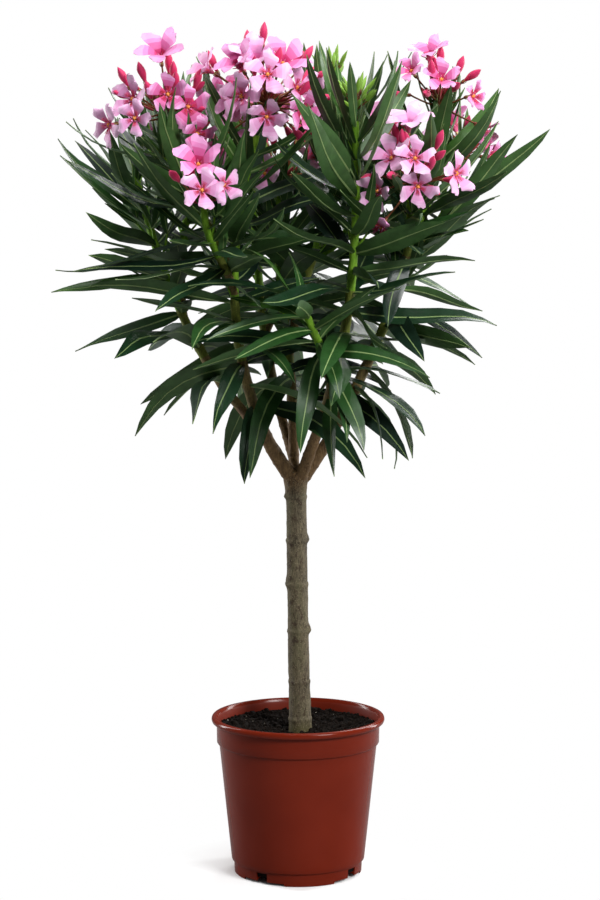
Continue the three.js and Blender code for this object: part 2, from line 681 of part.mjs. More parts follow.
/**
 * A head as one skin: a hub of many three-sided faces with a stalk below, and a flower or a bud on
 * a ray from one face each. What would come too near to others is left out.
 */
function headSolid(head, others) {
  const curve = shootCurves.get(head.shoot);
  const axis = curve.getTangent(1);
  const foot = curve.getPoint(1).addScaledVector(axis, GAP);
  const middle = foot.clone().addScaledVector(axis, head.stalk);
  const shape = new THREE.OctahedronGeometry(HUB_RADIUS, 1);
  shape.applyQuaternion(new THREE.Quaternion().setFromUnitVectors(UP, axis));
  const corner = shape.attributes.position;
  const sides = [];
  for (let i = 0; i < corner.count; i += 3) {
    const place = (k) => vec(corner.getX(k), corner.getY(k), corner.getZ(k)).add(middle);
    const root = [place(i), place(i + 1), place(i + 2)];
    const out = root[0].clone().add(root[1]).add(root[2]).divideScalar(3).sub(middle).normalize();
    sides.push({ root, out, free: true });
  }
  const nearer = (way) => (a, b) => (b.out.dot(way) > a.out.dot(way) ? b : a);
  const nearestTo = (way) => sides.filter((side) => side.free).reduce(nearer(way));
  const parts = [];

  const bottom = nearestTo(axis.clone().negate());
  bottom.free = false;
  const stem = [bottom.root, neckRing(bottom.root, foot, SHOOT.tipRadius)];
  parts.push({ points: stem.flat(), faces: [...ringFaces(stem, [0, 3]), [3, 4, 5]] });

  const own = new Taken();
  const total = head.flowers + head.buds;
  for (let i = 0; i < total; i++) {
    const flowersUpTo = (k) => Math.floor((k * head.flowers) / total);
    const isFlower = flowersUpTo(i + 1) > flowersUpTo(i);
    const id = 5000 + head.deal * 100 + i;
    const open = head.opens * Math.sqrt((i + 0.5) / total) + 7 * wobble(id, 1);
    const turn = head.turn + GOLDEN_TURN * i + 12 * wobble(id, 2);
    const way = tilted(axis, radians(open), radians(turn));
    way.y -= head.toFront;
    way.normalize();
    const side = nearestTo(way);
    const facing = way.clone().addScaledVector(UP, 0.15 * wobble(id, 4)).normalize();
    // a flower that would cross its neighbours is moved further out or in
    for (const stretch of [1, 1.2, 0.8, 1.4]) {
      const share = stretch * (isFlower ? 1 : RAY.budShare) * (1 + RAY.vary * wobble(id, 3));
      const length = share * head.ray;
      const end = middle.clone().addScaledVector(way, HUB_RADIUS + length);
      const flower = (root) => flowerOnRay(root, end, facing, 0.3 * wobble(id, 5));
      const grow = (root) => (isFlower ? flower(root) : budOnRay(root, end, facing));
      const neck = neckRing(side.root, end, RAY.tip);
      const cut = side.root.map((point, k) => point.clone().lerp(neck[k], RAY.clearFrom));
      const whole = capped(grow(side.root));
      const outer = capped(grow(cut));
      if (others.near(whole) || own.near(outer, 0.2)) continue;
      own.add(outer);
      side.free = false;
      parts.push(grow(side.root));
      break;
    }
  }
  for (const side of sides) if (side.free) parts.push({ points: side.root, faces: [[0, 1, 2]] });
  return welded(parts);
}

/** A ray with its root closed, to try it on its own. */
function capped({ points, faces }) {
  return solidOf(points, [...faces, [0, 2, 1]]);
}

/** One solid from parts that share corners. */
function welded(parts) {
  const places = new Map();
  const points = [];
  const faces = [];
  for (const part of parts) {
    const index = part.points.map((point) => {
      const key = point.toArray().map((c) => Math.round(c * 1e4)).join();
      if (!places.has(key)) places.set(key, points.push(point) - 1);
      return places.get(key);
    });
    faces.push(...part.faces.map((face) => face.map((i) => index[i])));
  }
  return solidOf(points, faces);
}

// ---------------------------------------------------------------- the whole plant
const materials = {
  pot: new THREE.MeshStandardMaterial({ color: COLOURS.pot, roughness: 0.38, metalness: 0 }),
  compost: new THREE.MeshStandardMaterial({ color: COLOURS.compost, roughness: 1, metalness: 0 }),
  bark: new THREE.MeshStandardMaterial({ color: COLOURS.bark, roughness: 0.85, metalness: 0 }),
  leaf: new THREE.MeshStandardMaterial({ color: COLOURS.leaf, roughness: 0.5, metalness: 0 }),
  flower: new THREE.MeshStandardMaterial({ color: COLOURS.flower, roughness: 0.6, metalness: 0 }),
  bud: new THREE.MeshStandardMaterial({ color: COLOURS.bud, roughness: 0.6, metalness: 0 }),
};

const plant = new THREE.Group();

function add(name, solid, material) {
  const mesh = new THREE.Mesh(geometryOf(solid), material);
  mesh.name = name;
  plant.add(mesh);
}

add("pot", potSolid(), materials.pot);
add("compost", compostSolid(), materials.compost);

// Each bough is cut clear of the trunk and of the boughs before it.
const limbs = [];
add("trunk", trunkSolid(), materials.bark);
let wood = trunkSolid(GAP);
for (const limb of LIMBS) {
  add(limb.name, limbSolid(limb).subtract(wood), materials.bark);
  wood = wood.add(limbSolid(limb, GAP));
  limbs.push(limbSolid(limb));
}
limbs.push(trunkSolid());

// Flower heads keep clear of the limbs, of the other shoots and of each other.
const shoots = SHOOTS.map((shoot) => ({ ...shoot, solid: shootSolid(shoot) }));
const heads = [];
HEADS.forEach((head, index) => {
  const others = shoots.filter((shoot) => shoot.name !== head.shoot).map((shoot) => shoot.solid);
  heads.push(headSolid(head, new Taken([...limbs, ...heads, ...others])));
  add(head.name, heads[index], head.flowers ? materials.flower : materials.bud);
});

// Leaves keep clear of all that and of the other masses, and inside their own mass a leaf's blade
// keeps off the other blades. Only then are a shoot and its leaves made as one skin.
const placed = [];
for (const mass of new Set(SHOOTS.map((shoot) => shoot.mass))) {
  const foreign = shoots.filter((shoot) => shoot.mass !== mass).map((shoot) => shoot.solid);
  const others = new Taken([...limbs, ...heads, ...foreign, ...placed]);
  const own = new Taken();
  const skins = [];
  shoots.forEach((shoot, index) => {
    if (shoot.mass !== mass) return;
    const siblings = new Taken(
      shoots.filter((other) => other.mass === mass && other !== shoot).map((other) => other.solid),
    );
    const stem = new Taken([shoot.solid]);
    const leaves = [];
    for (let whorl = 0; whorlDepth(shoot, whorl); whorl++) {
      leaves.push([0, 1, 2].map((side) => {
        for (const trial of COMB) {
          const traits = leafTraits(shoot, index, whorl, side, trial);
          if (!traits) continue;
          const leaf = leafSolid(traits);
          const blade = leafSolid(traits, STALK_SHARE);
          if (others.near(leaf) || own.near(blade, 0.2) || siblings.near(blade, 0.2)) continue;
          if (stem.near(leafSolid(traits, 0.4), 0.2)) continue;
          own.add(blade);
          placed.push(leaf);
          return traits;
        }
        return null;
      }));
    }
    skins.push(shootSolid(shoot, leaves));
  });
  add(mass, joined(skins), materials.leaf);
}

export default plant;
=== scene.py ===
"""Looks of the potted oleander: a standard on a bare stem, with leathery leaves in whorls of three
and pink pinwheel flowers, in a red-brown nursery pot.

Lengths are millimetres until a mesh is made, and +Z is up. Every plant form is a skin: rings of
points carried along a path and closed at both ends. Leaves, flowers and buds grow by the same rule as
those of the solids, whose own points tell which of them they have.
"""

import math

import bpy
import numpy as np
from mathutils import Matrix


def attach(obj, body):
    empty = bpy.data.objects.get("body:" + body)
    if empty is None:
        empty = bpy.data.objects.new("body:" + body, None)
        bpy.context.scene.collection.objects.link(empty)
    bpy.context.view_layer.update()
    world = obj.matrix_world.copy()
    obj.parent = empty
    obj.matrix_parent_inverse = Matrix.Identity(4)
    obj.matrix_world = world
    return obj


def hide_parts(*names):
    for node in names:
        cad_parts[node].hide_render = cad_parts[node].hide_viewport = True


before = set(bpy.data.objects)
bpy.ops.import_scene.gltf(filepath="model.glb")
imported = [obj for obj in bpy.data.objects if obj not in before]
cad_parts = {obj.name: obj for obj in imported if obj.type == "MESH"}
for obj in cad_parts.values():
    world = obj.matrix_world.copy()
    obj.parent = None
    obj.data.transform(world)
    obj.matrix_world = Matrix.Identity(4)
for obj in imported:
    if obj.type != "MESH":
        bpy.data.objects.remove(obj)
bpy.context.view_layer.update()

MM = 0.001
UP = np.array([0.0, 0.0, 1.0])
TURN = 2 * math.pi
GOLDEN_TURN = 137.508

# ---------------------------------------------------------------- named sizes
# radii and heights, with arcs and turns in degrees
POT = {
    "rim": 105, "lip_reach": 2.6, "lip_under": 184.5, "top": 192, "mouth": 99, "collar": 98.5,
    "collar_foot": 159, "wall_top": 95.7, "wall_foot": 80.9, "wall": 1.6, "band": 78.2, "band_top": 16.5,
    "foot": 77.4, "foot_height": 3, "foot_arc": 47, "foot_turn": -79, "feet": 4, "floor": 5,
    "floor_top": 7.2, "window_arc": 11, "window_top": 13.5, "window_reach": 66,
}
COMPOST = {
    "at_wall": 179, "between": 175, "at_trunk": 172, "stones_from": 17,
    # radius and height of its sides, down the pot's inside to its floor
    "sides": [
        (96.4, 178), (96.4, 160.5), (93.6, 157), (86.2, 90), (78.9, 17.4), (76.2, 15), (76.0, 8),
        (74.4, 7.5), (0.4, 7.5),
    ],
    # how high, how wide and which noise
    "lumps": [(1.6, 17, 1), (0.9, 6, 2), (0.6, 2.6, 3)],
}
TRUNK = {
    "foot": 172.3, "fork": 484,
    "path": [(3, 0, 172.3), (-0.8, 0, 330), (-2.5, 0, 484)],
    "radii": [(172.3, 13.2), (330, 12.4), (484, 12.2)],
    "scars": [188, 234, 296, 353, 406, 459],
    # how far each stands out or in, and its height: the flare at the soil, and a scar's ridge and crack
    "flare": (1.5, 14), "ridge": (0.9, 2.6), "crack": (0.35, 0.8), "crack_above": 3.6,
    # heights at the fork, and how many times as wide the stem is there
    "swelling": ([458, 474, 484, 489, 492.8, 495.2], [1, 1.12, 1.3, 1.24, 0.95, 0.3]),
    # height, turn in degrees, how far it stands out, and its spread in mm
    "knots": [
        (299, -8, 3.2, 5.5), (356, 190, 2.2, 8), (409, 6, 2.6, 4.5), (461, 200, 2.4, 3.5),
        (246, 150, 1.2, 6),
    ],
}
# name: foot, tip, radius at each, bow of the middle
BOUGHS = {
    "bough_left": ((-7, -3, 483), (-43, -17, 545), (9.2, 7.4), (-3, 0)),
    "bough_right": ((6, 2, 482), (52, 7, 556), (8.2, 6.2), (2, 0)),
    "bough_front_right": ((3, -6, 483), (27, -35, 552), (7.4, 6.0), (0, -3)),
    "bough_middle": ((-5, 6, 482), (-6, 16, 548), (6.8, 5.6), (0, 2)),
    "bough_left_back": ((-27, -9, 517), (-70, 16, 566), (6.2, 5.6), (0, 0)),
    "bough_back": ((-5, 9, 502), (-22, 50, 558), (6.0, 5.6), (0, 0)),
}
BOUGH_SCARS = {"every": 17, "ridge": (0.55, 1.7)}
# how far the bark's furrows, fibres and warts stand out, and how long they are, in mm
BARK = {"furrow": (0.38, 26), "fibre": (0.2, 7), "wart": (0.75, 3.2), "wart_from": 0.55}
# what grows on from a tip starts so many mm beyond it
BEYOND_TIP = 0.3
# name: mass, bearer, share of the bearer (none on a bough's tip), tip, lean, phase
SHOOTS = {
    "left": ("foliage_left_front", "bough_left", None, (-48, -54, 890), (0.3, 0), 20),
    "far_left": ("foliage_left_front", "left", 0.5, (-148, -46, 890), (-0.1, 0), 75),
    "low_left": ("foliage_left_front", "left", 0.47, (-108, -98, 806), (0, -0.1), 10),
    "back_left": ("foliage_left_back", "bough_left_back", None, (-196, 58, 842), (-0.25, 0), 40),
    "rear_left": ("foliage_left_back", "back_left", 0.42, (-132, 122, 866), (0, 0.2), 95),
    "front": ("foliage_right_front", "bough_front_right", None, (66, -90, 905), (-0.02, 0), 50),
    "low_front": ("foliage_right_front", "front", 0.1, (2, -138, 704), (-0.4, -0.2), 0),
    "right": ("foliage_right", "bough_right", None, (164, 14, 900), (0.08, 0), 0),
    "far_right": ("foliage_right", "right", 0.45, (196, 78, 846), (0.25, 0.1), 70),
    "low_right": ("foliage_right", "right", 0.5, (132, -62, 832), (0.05, -0.2), 35),
    "centre": ("foliage_middle", "bough_middle", None, (-22, 56, 818), (0.1, 0), 15),
    "centre_right": ("foliage_middle", "centre", 0.26, (46, 62, 908), (-0.1, 0), 60),
    "back": ("foliage_back", "bough_back", None, (-62, 140, 880), (-0.1, 0.15), 30),
    "rear_right": ("foliage_back", "back", 0.3, (96, 144, 846), (0.15, 0.15), 85),
}
MASSES = sorted({shoot[0] for shoot in SHOOTS.values()})
# a shoot's radii, the share of its length that lies inside a bough's tip, and how far each widening
# or ridge stands out with its length
STEM = {
    "foot": 5.6, "side_foot": 4.4, "tip": 2.8, "inside": -0.012, "bark": 1.0, "bark_from": 30,
    "flare_fade": 16, "side_flare": (1.1, 5), "ridge": (0.7, 2.2),
}
# where along a shoot each of its looks starts and ends
STEM_SPANS = {"shoot_wood": (0, 0.24), "shoot_olive": (0.24, 0.46), "shoot_green": (0.46, 1)}
WHORL = {"first": 8, "spacing": 18, "growth": 0.35, "foot_clear": 16, "jitter": 18}
LEAF = {
    "length": 196, "young": 0.54, "young_fade": 58, "length_spread": 0.13, "width": 0.165,
    "old_tilt": 80, "young_tilt": 54, "tilt_fade": 62, "tilt_vary": 9, "roll": 32, "sweep": 16, "vary": 16,
    "curl": [(570, -66), (630, -40), (690, -14), (760, 8), (830, 32)],
    "sag": [(560, 0.24), (630, 0.08), (700, 0)],
    "shortest": 0.66, "slim": 0.86, "twist": 60, "wave": 0.034,
}
BLADE_STEPS = 48
# leaves are young, and then near the tip, to so many mm below it; older ones have each tint up to a
# share of chance, and beyond the last they are dark
TINT_DEPTHS = {"young": 12, "near": 50}
OLD_TINTS = {"leaf_mid": 0.22, "leaf_green": 0.5, "leaf_deep": 0.78}
# how near in mm a grown point lies to one of the solids' own if it is the same
NEAR = {"leaf": 0.45, "head": 0.5, "corner": 0.6}
# the solids' leaves are shortened in steps of so many mm, and this near to a whole number of them
CUT = {"step": 2, "near": 0.15}
# shares of a leaf's and of a petal's length where it has a ring of points
STATIONS = np.array([0, 0.0625, 0.167, 0.3125, 0.458, 0.604, 0.75, 0.896, 1.0])
PETAL_STATIONS = np.array([0, 0.1, 0.2, 0.33, 0.46, 0.62, 0.78, 0.91, 1.0])
# a leaf is at least this wide at each station, to each side of its midrib
LEAST_HALF = [1.3, 1.3, 1, 1, 1, 1, 1, 0.6, 0.18]
# how a leaf may turn aside, lift and shorten to stay clear, in the order tried
COMB = np.array([
    (0, 0, 1), (12, 0, 1), (-12, 0, 1), (0, 9, 1), (0, -9, 1), (24, 0, 1), (-24, 0, 1), (14, 12, 1),
    (-14, -12, 1), (36, 0, 1), (-36, 0, 1), (24, -14, 1), (-24, 14, 1), (48, 6, 1), (-48, -6, 1),
    (0, 0, 0.75), (18, 9, 0.75), (-18, -9, 0.75), (32, -9, 0.75), (-32, 9, 0.75), (0, 14, 0.6),
    (24, -5, 0.6), (-24, 5, 0.6), (44, 0, 0.6), (-44, 0, 0.6),
])
# the crown's outline: height, reach to the left and to the right
CROWN = np.array([
    (466, 1, 1), (474, 92, 96), (520, 188, 162), (580, 238, 172), (635, 288, 228), (660, 268, 240),
    (714, 305, 214), (760, 262, 214), (800, 276, 226), (840, 262, 264), (885, 300, 294), (905, 282, 305),
    (960, 205, 225), (985, 150, 165), (998, 110, 120), (1002, 1, 1),
])
CROWN_DEPTH = {"front": 0.93, "back": 0.85}
# where the crown is open: x, z, and how far round them leaves that end there are left out
SKY = [(-128, 512, 36), (-225, 574, 22), (-266, 811, 12), (-272, 703, 20), (198, 711, 20), (180, 593, 10)]
# small leaves round a shoot's tip: height above it, length and tilt of each ring of three
TIP_RINGS = [(-3, 74, 34), (4, 56, 26), (11, 40, 20)]
AXIL = {"share": 0.22, "from": 20, "to": 0.6, "tilt": 38, "least": 14, "more": 16}
# name: shoot, stalk, flowers, buds, ray, opens, to the front, turn, deal
HEADS = {
    "flowers_left": ("left", 41.6, 12, 8, 50.4, 126.4, 0.35, 155.8, 250),
    "flowers_far_left": ("far_left", 28.2, 9, 7, 51.2, 109, 1.23, 306.4, 33),
    "flowers_low_left": ("low_left", 8, 3, 3, 54, 66, 1.73, 308.2, 295),
    "flowers_centre": ("centre", 26, 4, 4, 34, 95, 0.1, 0, 3),
    "flowers_low_right": ("low_right", 8, 7, 7, 46.5, 116.6, 1.1, 119.2, 217),
    "flowers_right": ("right", 31.3, 6, 5, 40, 99.3, 1.09, 118, 100),
    "flowers_far_right": ("far_right", 22, 3, 3, 22, 85, 0.1, 0, 6),
    "flowers_back": ("back", 30, 6, 5, 38, 105, -0.2, 0, 7),
    "flowers_rear_left": ("rear_left", 26, 4, 4, 30, 95, -0.2, 0, 8),
    "flowers_rear_right": ("rear_right", 26, 5, 4, 34, 100, -0.2, 0, 9),
    "buds_front": ("front", 18, 0, 8, 12, 50, 0, 0, 10),
    "buds_centre_right": ("centre_right", 50, 0, 8, 14, 45, 0, 0, 11),
}
FLOWER_NODES = [name for name in HEADS if name.startswith("flowers")]
BUD_NODES = [name for name in HEADS if name.startswith("buds")]
# a ray leaves the head's hub, and a bud's ray is shorter; a ray may stretch, in the order tried
RAY = {"hub": 5.5, "bud": 0.72, "vary": 0.22, "stretches": (1, 1.2, 0.8, 1.4)}
# the solids' throats and bud tips stand this far beyond a ray's end, and their flowers' corners here
SOLID = {"throat": 12, "bud_tip": 26, "corner_out": 25, "corner_up": 22, "corner_turn": 17}
# flowers and buds between those that the solids have: buds for each flower, their share of the ray,
# and the fewest flowers of a head that gets more of them, one for every second bud
FILL = {"share": 0.75, "flower_reach": 0.66, "bud_reach": 0.95, "from": 12}
# heads whose flowers have just opened, smaller and deeper pink
FRESH_HEADS = ("flowers_right", "flowers_far_right")
FRESH_SIZE = 0.8
# half the width of a petal at shares of its length
PETAL_HALF = ([0, 0.15, 0.3, 0.5, 0.7, 0.85, 0.95, 1], [2.6, 3.6, 5.2, 7.4, 9.4, 10.2, 9.2, 6.0])
PETAL_TONES = ["white", "pale", "pink", "rose", "deep", "crimson", "ruby"]
# radius and height of each turned part of a flower or bud, from the end of its ray
TURNED = {
    "tube": [(1.5, 6), (2, 7.6), (2.8, 9.8), (4, 12), (5.3, 13.6), (4.7, 13.9), (3.2, 11.5), (1, 8.4)],
    "foot": [(1, -0.5), (1.35, 1), (1.5, 3.2), (1.75, 6.4)],
    "heart": [(1.2, 9), (2.3, 11.6), (2.6, 13.6), (1.7, 15.2), (0.5, 16.2)],
    "bud": [
        (1.75, 5.5), (2.7, 9), (4, 14), (4.7, 18.5), (4.4, 22.5), (3.1, 26.4), (1.5, 29.6), (0.25, 31.5),
    ],
    "bud_foot": [(1, -0.5), (1.35, 1.5), (1.6, 4), (1.9, 6)],
    "green_bud": [
        (1, -0.5), (1.6, 3), (2.3, 8), (2.7, 12), (2.3, 17), (1.3, 21), (0.5, 24), (0.15, 25.5),
    ],
    "young_bud": [(0.7, -0.3), (1.3, 1.5), (1.75, 4.5), (1.6, 7.5), (0.9, 10), (0.2, 11.5)],
}
# distance from the flower's axis, height and half width of small blades, from foot to tip
BLADES = {
    "stripe": ([3.2, 5.2, 7.4, 9.6], [13.4, 15.6, 17.3, 18.9], [0.4, 0.42, 0.3, 0.08]),
    "fringe": ([2.6, 3.4, 4.3], [12.6, 15.2, 17.2], [1.2, 1.1, 0.3]),
    "sepal": ([1.2, 2.1, 2.3, 2.2], [-0.6, 1.2, 3.4, 5.8], [0.8, 1.1, 0.8, 0.1]),
}
YOUNG_BUDS = 20
# metres, degrees and millimetres of focal length
CAMERA = {"place": (0.0024, -2.9581, 0.8476), "tilt": 83.6, "sensor": 36, "lens": 99.24}
FLOOR = {
    "radius": 60, "white_from": 0.07, "white_to": 0.17,
    "as_light": (0.24, 0.24, 0.24), "as_seen": (0.9, 0.9, 0.9),
}
AMBIENT = 0.12  # light from all round, beside the five soft lamps
# name: place, target and size in metres, watts
LAMPS = {
    "left_strip": ((-1.65, 0.75, 1.0), (0, 0, 0.6), (0.35, 1.9), 34),
    "right_strip": ((1.65, 0.9, 1.0), (0, 0, 0.6), (0.35, 1.9), 34),
    "top_softbox": ((0.1, -0.6, 2.9), (0, 0, 0.7), (1.3, 1.3), 48),
    "front_softbox": ((1.7, -2.2, 2.0), (0, 0, 0.6), (1.0, 1.0), 90),
    "back_softbox": ((0.9, 2.3, 2.2), (0, 0, 0.7), (1.0, 1.0), 34),
}

# ---------------------------------------------------------------- colours, from 0 to 255
# name: dark and light, size of the grain in mm
STEM_COLOURS = {
    "bough_bark": ((72, 53, 33), (132, 105, 70), 1.6),
    "shoot_wood": ((74, 60, 34), (124, 108, 62), 1.4),
    "shoot_olive": ((76, 84, 28), (120, 130, 50), 1.4),
    "shoot_green": ((78, 120, 20), (124, 170, 44), 1.4),
    "flower_stalk": ((92, 50, 30), (142, 92, 54), 1.0),
}
SOIL_COLOURS = {
    "peat": ((6, 4, 3), (25, 17, 13), 3),
    "peat_crumbs": ((8, 6, 4), (36, 26, 20), 2),
    "pale_grit": ((120, 112, 98), (206, 200, 186), 1.5),
}
# name: colour, roughness
LEAF_COLOURS = {
    "leaf_fresh": ((100, 144, 38), 0.42),
    "leaf_mid": ((54, 94, 32), 0.36),
    "leaf_green": ((36, 72, 30), 0.36),
    "leaf_deep": ((24, 52, 30), 0.36),
    "leaf_dark": ((17, 39, 27), 0.36),
    "leaf_under": ((60, 94, 46), 0.5),
    "leaf_rib": ((132, 156, 98), 0.5),
}
PETAL_COLOURS = {
    "petal_white": (230, 184, 218),
    "petal_pale": (226, 170, 211),
    "petal_pink": (220, 152, 199),
    "petal_rose": (212, 126, 180),
    "petal_deep": (200, 92, 150),
    "petal_crimson": (188, 52, 110),
    "petal_ruby": (172, 38, 84),
    "flower_tube": (206, 84, 128),
    "tube_foot": (196, 184, 108),
    "flower_heart": (238, 158, 74),
    "heart_stripe": (206, 58, 84),
    "bud_crimson": (204, 46, 98),
    "bud_young": (148, 44, 52),
    "bud_green": (118, 158, 52),
    "calyx": (122, 54, 40),
}


# ---------------------------------------------------------------- numbers and curves
def chance(key, trait):
    """A number from 0 to 1: the fraction of a large multiple of sin(12.9898 key + 78.233 trait)."""
    s = np.sin(np.asarray(key, float) * 12.9898 + trait * 78.233) * 43758.5453
    return s - np.floor(s)


def wobble(key, trait):
    """The same from -1 to 1."""
    return 2 * chance(key, trait) - 1


def rows(items):
    """A list of rows with the same keys as one row of arrays."""
    return {k: np.array([item[k] for item in items]) for k in items[0]}


def picked(row, mask):
    """The chosen ones of a row of arrays."""
    return {k: v[mask] for k, v in row.items()}


def unit(v):
    """Vectors scaled to length one."""
    return v / np.linalg.norm(v, axis=-1, keepdims=True)


def column(values):
    """Numbers with one more axis, so that they scale vectors."""
    return np.asarray(values)[..., None]


def across(axis):
    """Two unit vectors square to each axis: u nearest +X, and v = axis x u."""
    u = unit(np.array([1.0, 0, 0]) - axis * axis[..., :1])
    return u, np.cross(axis, u)


def around(axis, angle):
    """u cos(angle) + v sin(angle), the direction at an angle round each axis."""
    u, v = across(axis)
    return u * column(np.cos(angle)) + v * column(np.sin(angle))


def tilted(axis, tilt, angle):
    """axis cos(tilt) + (u cos(angle) + v sin(angle)) sin(tilt)."""
    return axis * column(np.cos(tilt)) + around(axis, angle) * column(np.sin(tilt))


def bezier(points, t):
    """Points of a Bezier curve, by repeated mixing of its control points."""
    points = [np.asarray(p, float) for p in points]
    t = column(np.asarray(t, float))
    while len(points) > 1:
        points = [a * (1 - t) + b * t for a, b in zip(points, points[1:])]
    return points[0]


def heading_of(points, t):
    """Unit direction of a Bezier curve, between two points of it close by."""
    t = np.asarray(t, float)
    return unit(bezier(points, np.minimum(t + 1e-4, 1)) - bezier(points, np.maximum(t - 1e-4, 0)))


def length_of(points):
    """Length of a Bezier curve as 200 chords."""
    p = bezier(points, np.linspace(0, 1, 201))
    return np.linalg.norm(np.diff(p, axis=0), axis=1).sum()


def ripple(x, y, seed, period=None):
    """Smooth noise from -1 to 1: hashed values at whole numbers, mixed by 3f^2 - 2f^3. x may repeat."""
    x, y = np.broadcast_arrays(np.asarray(x, float), np.asarray(y, float))
    i, j = np.floor(x), np.floor(y)
    fx, fy = x - i, y - j
    fx, fy = fx * fx * (3 - 2 * fx), fy * fy * (3 - 2 * fy)

    def value(a, b):
        a = a % period if period else a
        return wobble(a * 57.31 + b * 113.7 + seed * 7.77, 3)

    low = value(i, j) * (1 - fx) + value(i + 1, j) * fx
    high = value(i, j + 1) * (1 - fx) + value(i + 1, j + 1) * fx
    return low * (1 - fy) + high * fy


# ---------------------------------------------------------------- shader maths
class Flow:
    """A shader value: + - * / and ** on it add Math nodes."""

    tree = None

    def __init__(self, socket):
        self.socket = socket

    @classmethod
    def node(cls, kind, settings=(), **values):
        """A node of a type, its settings made first, then its sockets from numbers or links. A socket
        goes by its name or, as i0, i1 and so on, by its place."""
        made = cls.tree.nodes.new(kind)
        for key, value in dict(settings).items():
            setattr(made, key, value)
        for key, value in values.items():
            socket = made.inputs[int(key[1:])] if key[1:].isdigit() else made.inputs[key.replace("_", " ")]
            if isinstance(value, Flow):
                cls.tree.links.new(value.socket, socket)
            else:
                socket.default_value = value
        return made

    @classmethod
    def maths(cls, operation, *values):
        sockets = {f"i{n}": value for n, value in enumerate(values)}
        return cls(cls.node("ShaderNodeMath", {"operation": operation}, **sockets).outputs[0])

    def __add__(self, other):
        return self.maths("ADD", self, other)

    def __sub__(self, other):
        return self.maths("SUBTRACT", self, other)

    def __mul__(self, other):
        return self.maths("MULTIPLY", self, other)

    def __truediv__(self, other):
        return self.maths("DIVIDE", self, other)

    def __pow__(self, other):
        return self.maths("POWER", self, other)

    def __rsub__(self, other):
        return self.maths("SUBTRACT", other, self)

    __radd__ = __add__
    __rmul__ = __mul__

    def clamp(self):
        return self.maths("MINIMUM", self.maths("MAXIMUM", self, 0.0), 1.0)

    def step(self, low, high):
        """0 below low, 1 above high, and even between."""
        return ((self - low) / (high - low)).clamp()


def srgb(red, green, blue):
    """Linear colour of a screen colour from 0 to 255."""
    c = np.array([red, green, blue]) / 255
    return tuple(float(x) for x in np.where(c <= 0.04045, c / 12.92, ((c + 0.055) / 1.055) ** 2.4))


def lit(tint, times, plus=0.0):
    """A linear colour made lighter or darker."""
    return tuple(min(1, c * times + plus) for c in tint)


def blend(low, high, share):
    """Colour that goes from low to high with share. Either may be a colour or a link."""
    low, high = (c if isinstance(c, Flow) else (*c, 1) for c in (low, high))
    made = Flow.node("ShaderNodeMix", {"data_type": "RGBA"}, i0=share, i6=low, i7=high)
    return Flow(made.outputs[2])


def place(scale=(1, 1, 1), shift=(0, 0, 0)):
    """Object coordinates in metres, stretched and shifted by a Mapping node."""
    where = Flow(Flow.node("ShaderNodeTexCoord").outputs["Object"])
    return Flow(Flow.node("ShaderNodeMapping", Vector=where, Scale=scale, Location=shift).outputs[0])


def noise(size, scale=(1, 1, 1), detail=3.0, rough=0.55, shift=(0, 0, 0)):
    """Noise with patches of about size mm, from 0 to 1."""
    sockets = {"Scale": 1 / (size * MM), "Detail": detail, "Roughness": rough}
    return Flow(Flow.node("ShaderNodeTexNoise", Vector=place(scale, shift), **sockets).outputs[0])


def cells(size, scale=(1, 1, 1)):
    """Distance to the nearest of scattered points about size mm apart, as a share of that."""
    made = Flow.node("ShaderNodeTexVoronoi", Vector=place(scale), Scale=1 / (size * MM))
    return Flow(made.outputs["Distance"])


def bump(height, distance, strength=1.0):
    """Normal raised by a height from 0 to 1, distance in mm."""
    made = Flow.node("ShaderNodeBump", Height=height, Distance=distance * MM, Strength=strength)
    return Flow(made.outputs[0])


def finish(name, look, **constants):
    """A material: look() returns its linked sockets, and the constants are set on the shader itself."""
    made = bpy.data.materials.new(name)
    made.use_nodes = True
    Flow.tree = made.node_tree
    shader = made.node_tree.nodes["Principled BSDF"]
    for key, value in constants.items():
        shader.inputs[key.replace("_", " ")].default_value = value
    for key, value in look().items():
        made.node_tree.links.new(value.socket, shader.inputs[key])
    return made


# ---------------------------------------------------------------- finishes
def leaf_finish(name, colour, roughness):
    """Leathery leaf: one tint, a little lighter and darker in soft patches, with a waxy gloss."""
    tint = srgb(*colour)

    def look():
        patches = noise(14, detail=2)
        return {
            "Base Color": blend(lit(tint, 0.8), lit(tint, 1.18), patches.step(0.3, 0.7)),
            "Roughness": noise(30, detail=2) * 0.16 + (roughness - 0.08),
            "Normal": bump(noise(5, detail=2), 0.5, 0.35),
        }

    return finish(name, look, Specular_IOR_Level=0.42)


def petal_finish(name, colour):
    """Petal, bud or calyx: one tint with faint lighter patches, velvety."""
    tint = srgb(*colour)

    def look():
        return {
            "Base Color": blend(tint, lit(tint, 1.12), noise(9, detail=2).step(0.35, 0.65)),
            "Roughness": noise(20, detail=1) * 0.1 + 0.5,
        }

    return finish(name, look, Specular_IOR_Level=0.35, Sheen_Weight=0.15, Sheen_Roughness=0.5)


def stem_finish(name, low, high, grain):
    """Bark or green stem: fine grain along it, corky patches, and a relief that follows both."""
    low, high = srgb(*low), srgb(*high)

    def look():
        fibre = noise(grain, scale=(1, 1, 0.16), detail=4, rough=0.6)
        patch = noise(grain * 5, scale=(1, 1, 0.5), detail=3)
        speck = 1 - cells(grain * 1.6, scale=(1, 1, 0.7)).step(0.12, 0.3)
        body = blend(low, high, (fibre * 0.55 + patch * 0.45).step(0.34, 0.64))
        return {
            "Base Color": blend(body, lit(high, 1.5, 0.02), speck * 0.4),
            "Roughness": fibre * 0.2 + 0.66,
            "Normal": bump(fibre * 0.7 + speck * 0.3, 0.5, 0.6),
        }

    return finish(name, look, Specular_IOR_Level=0.3)


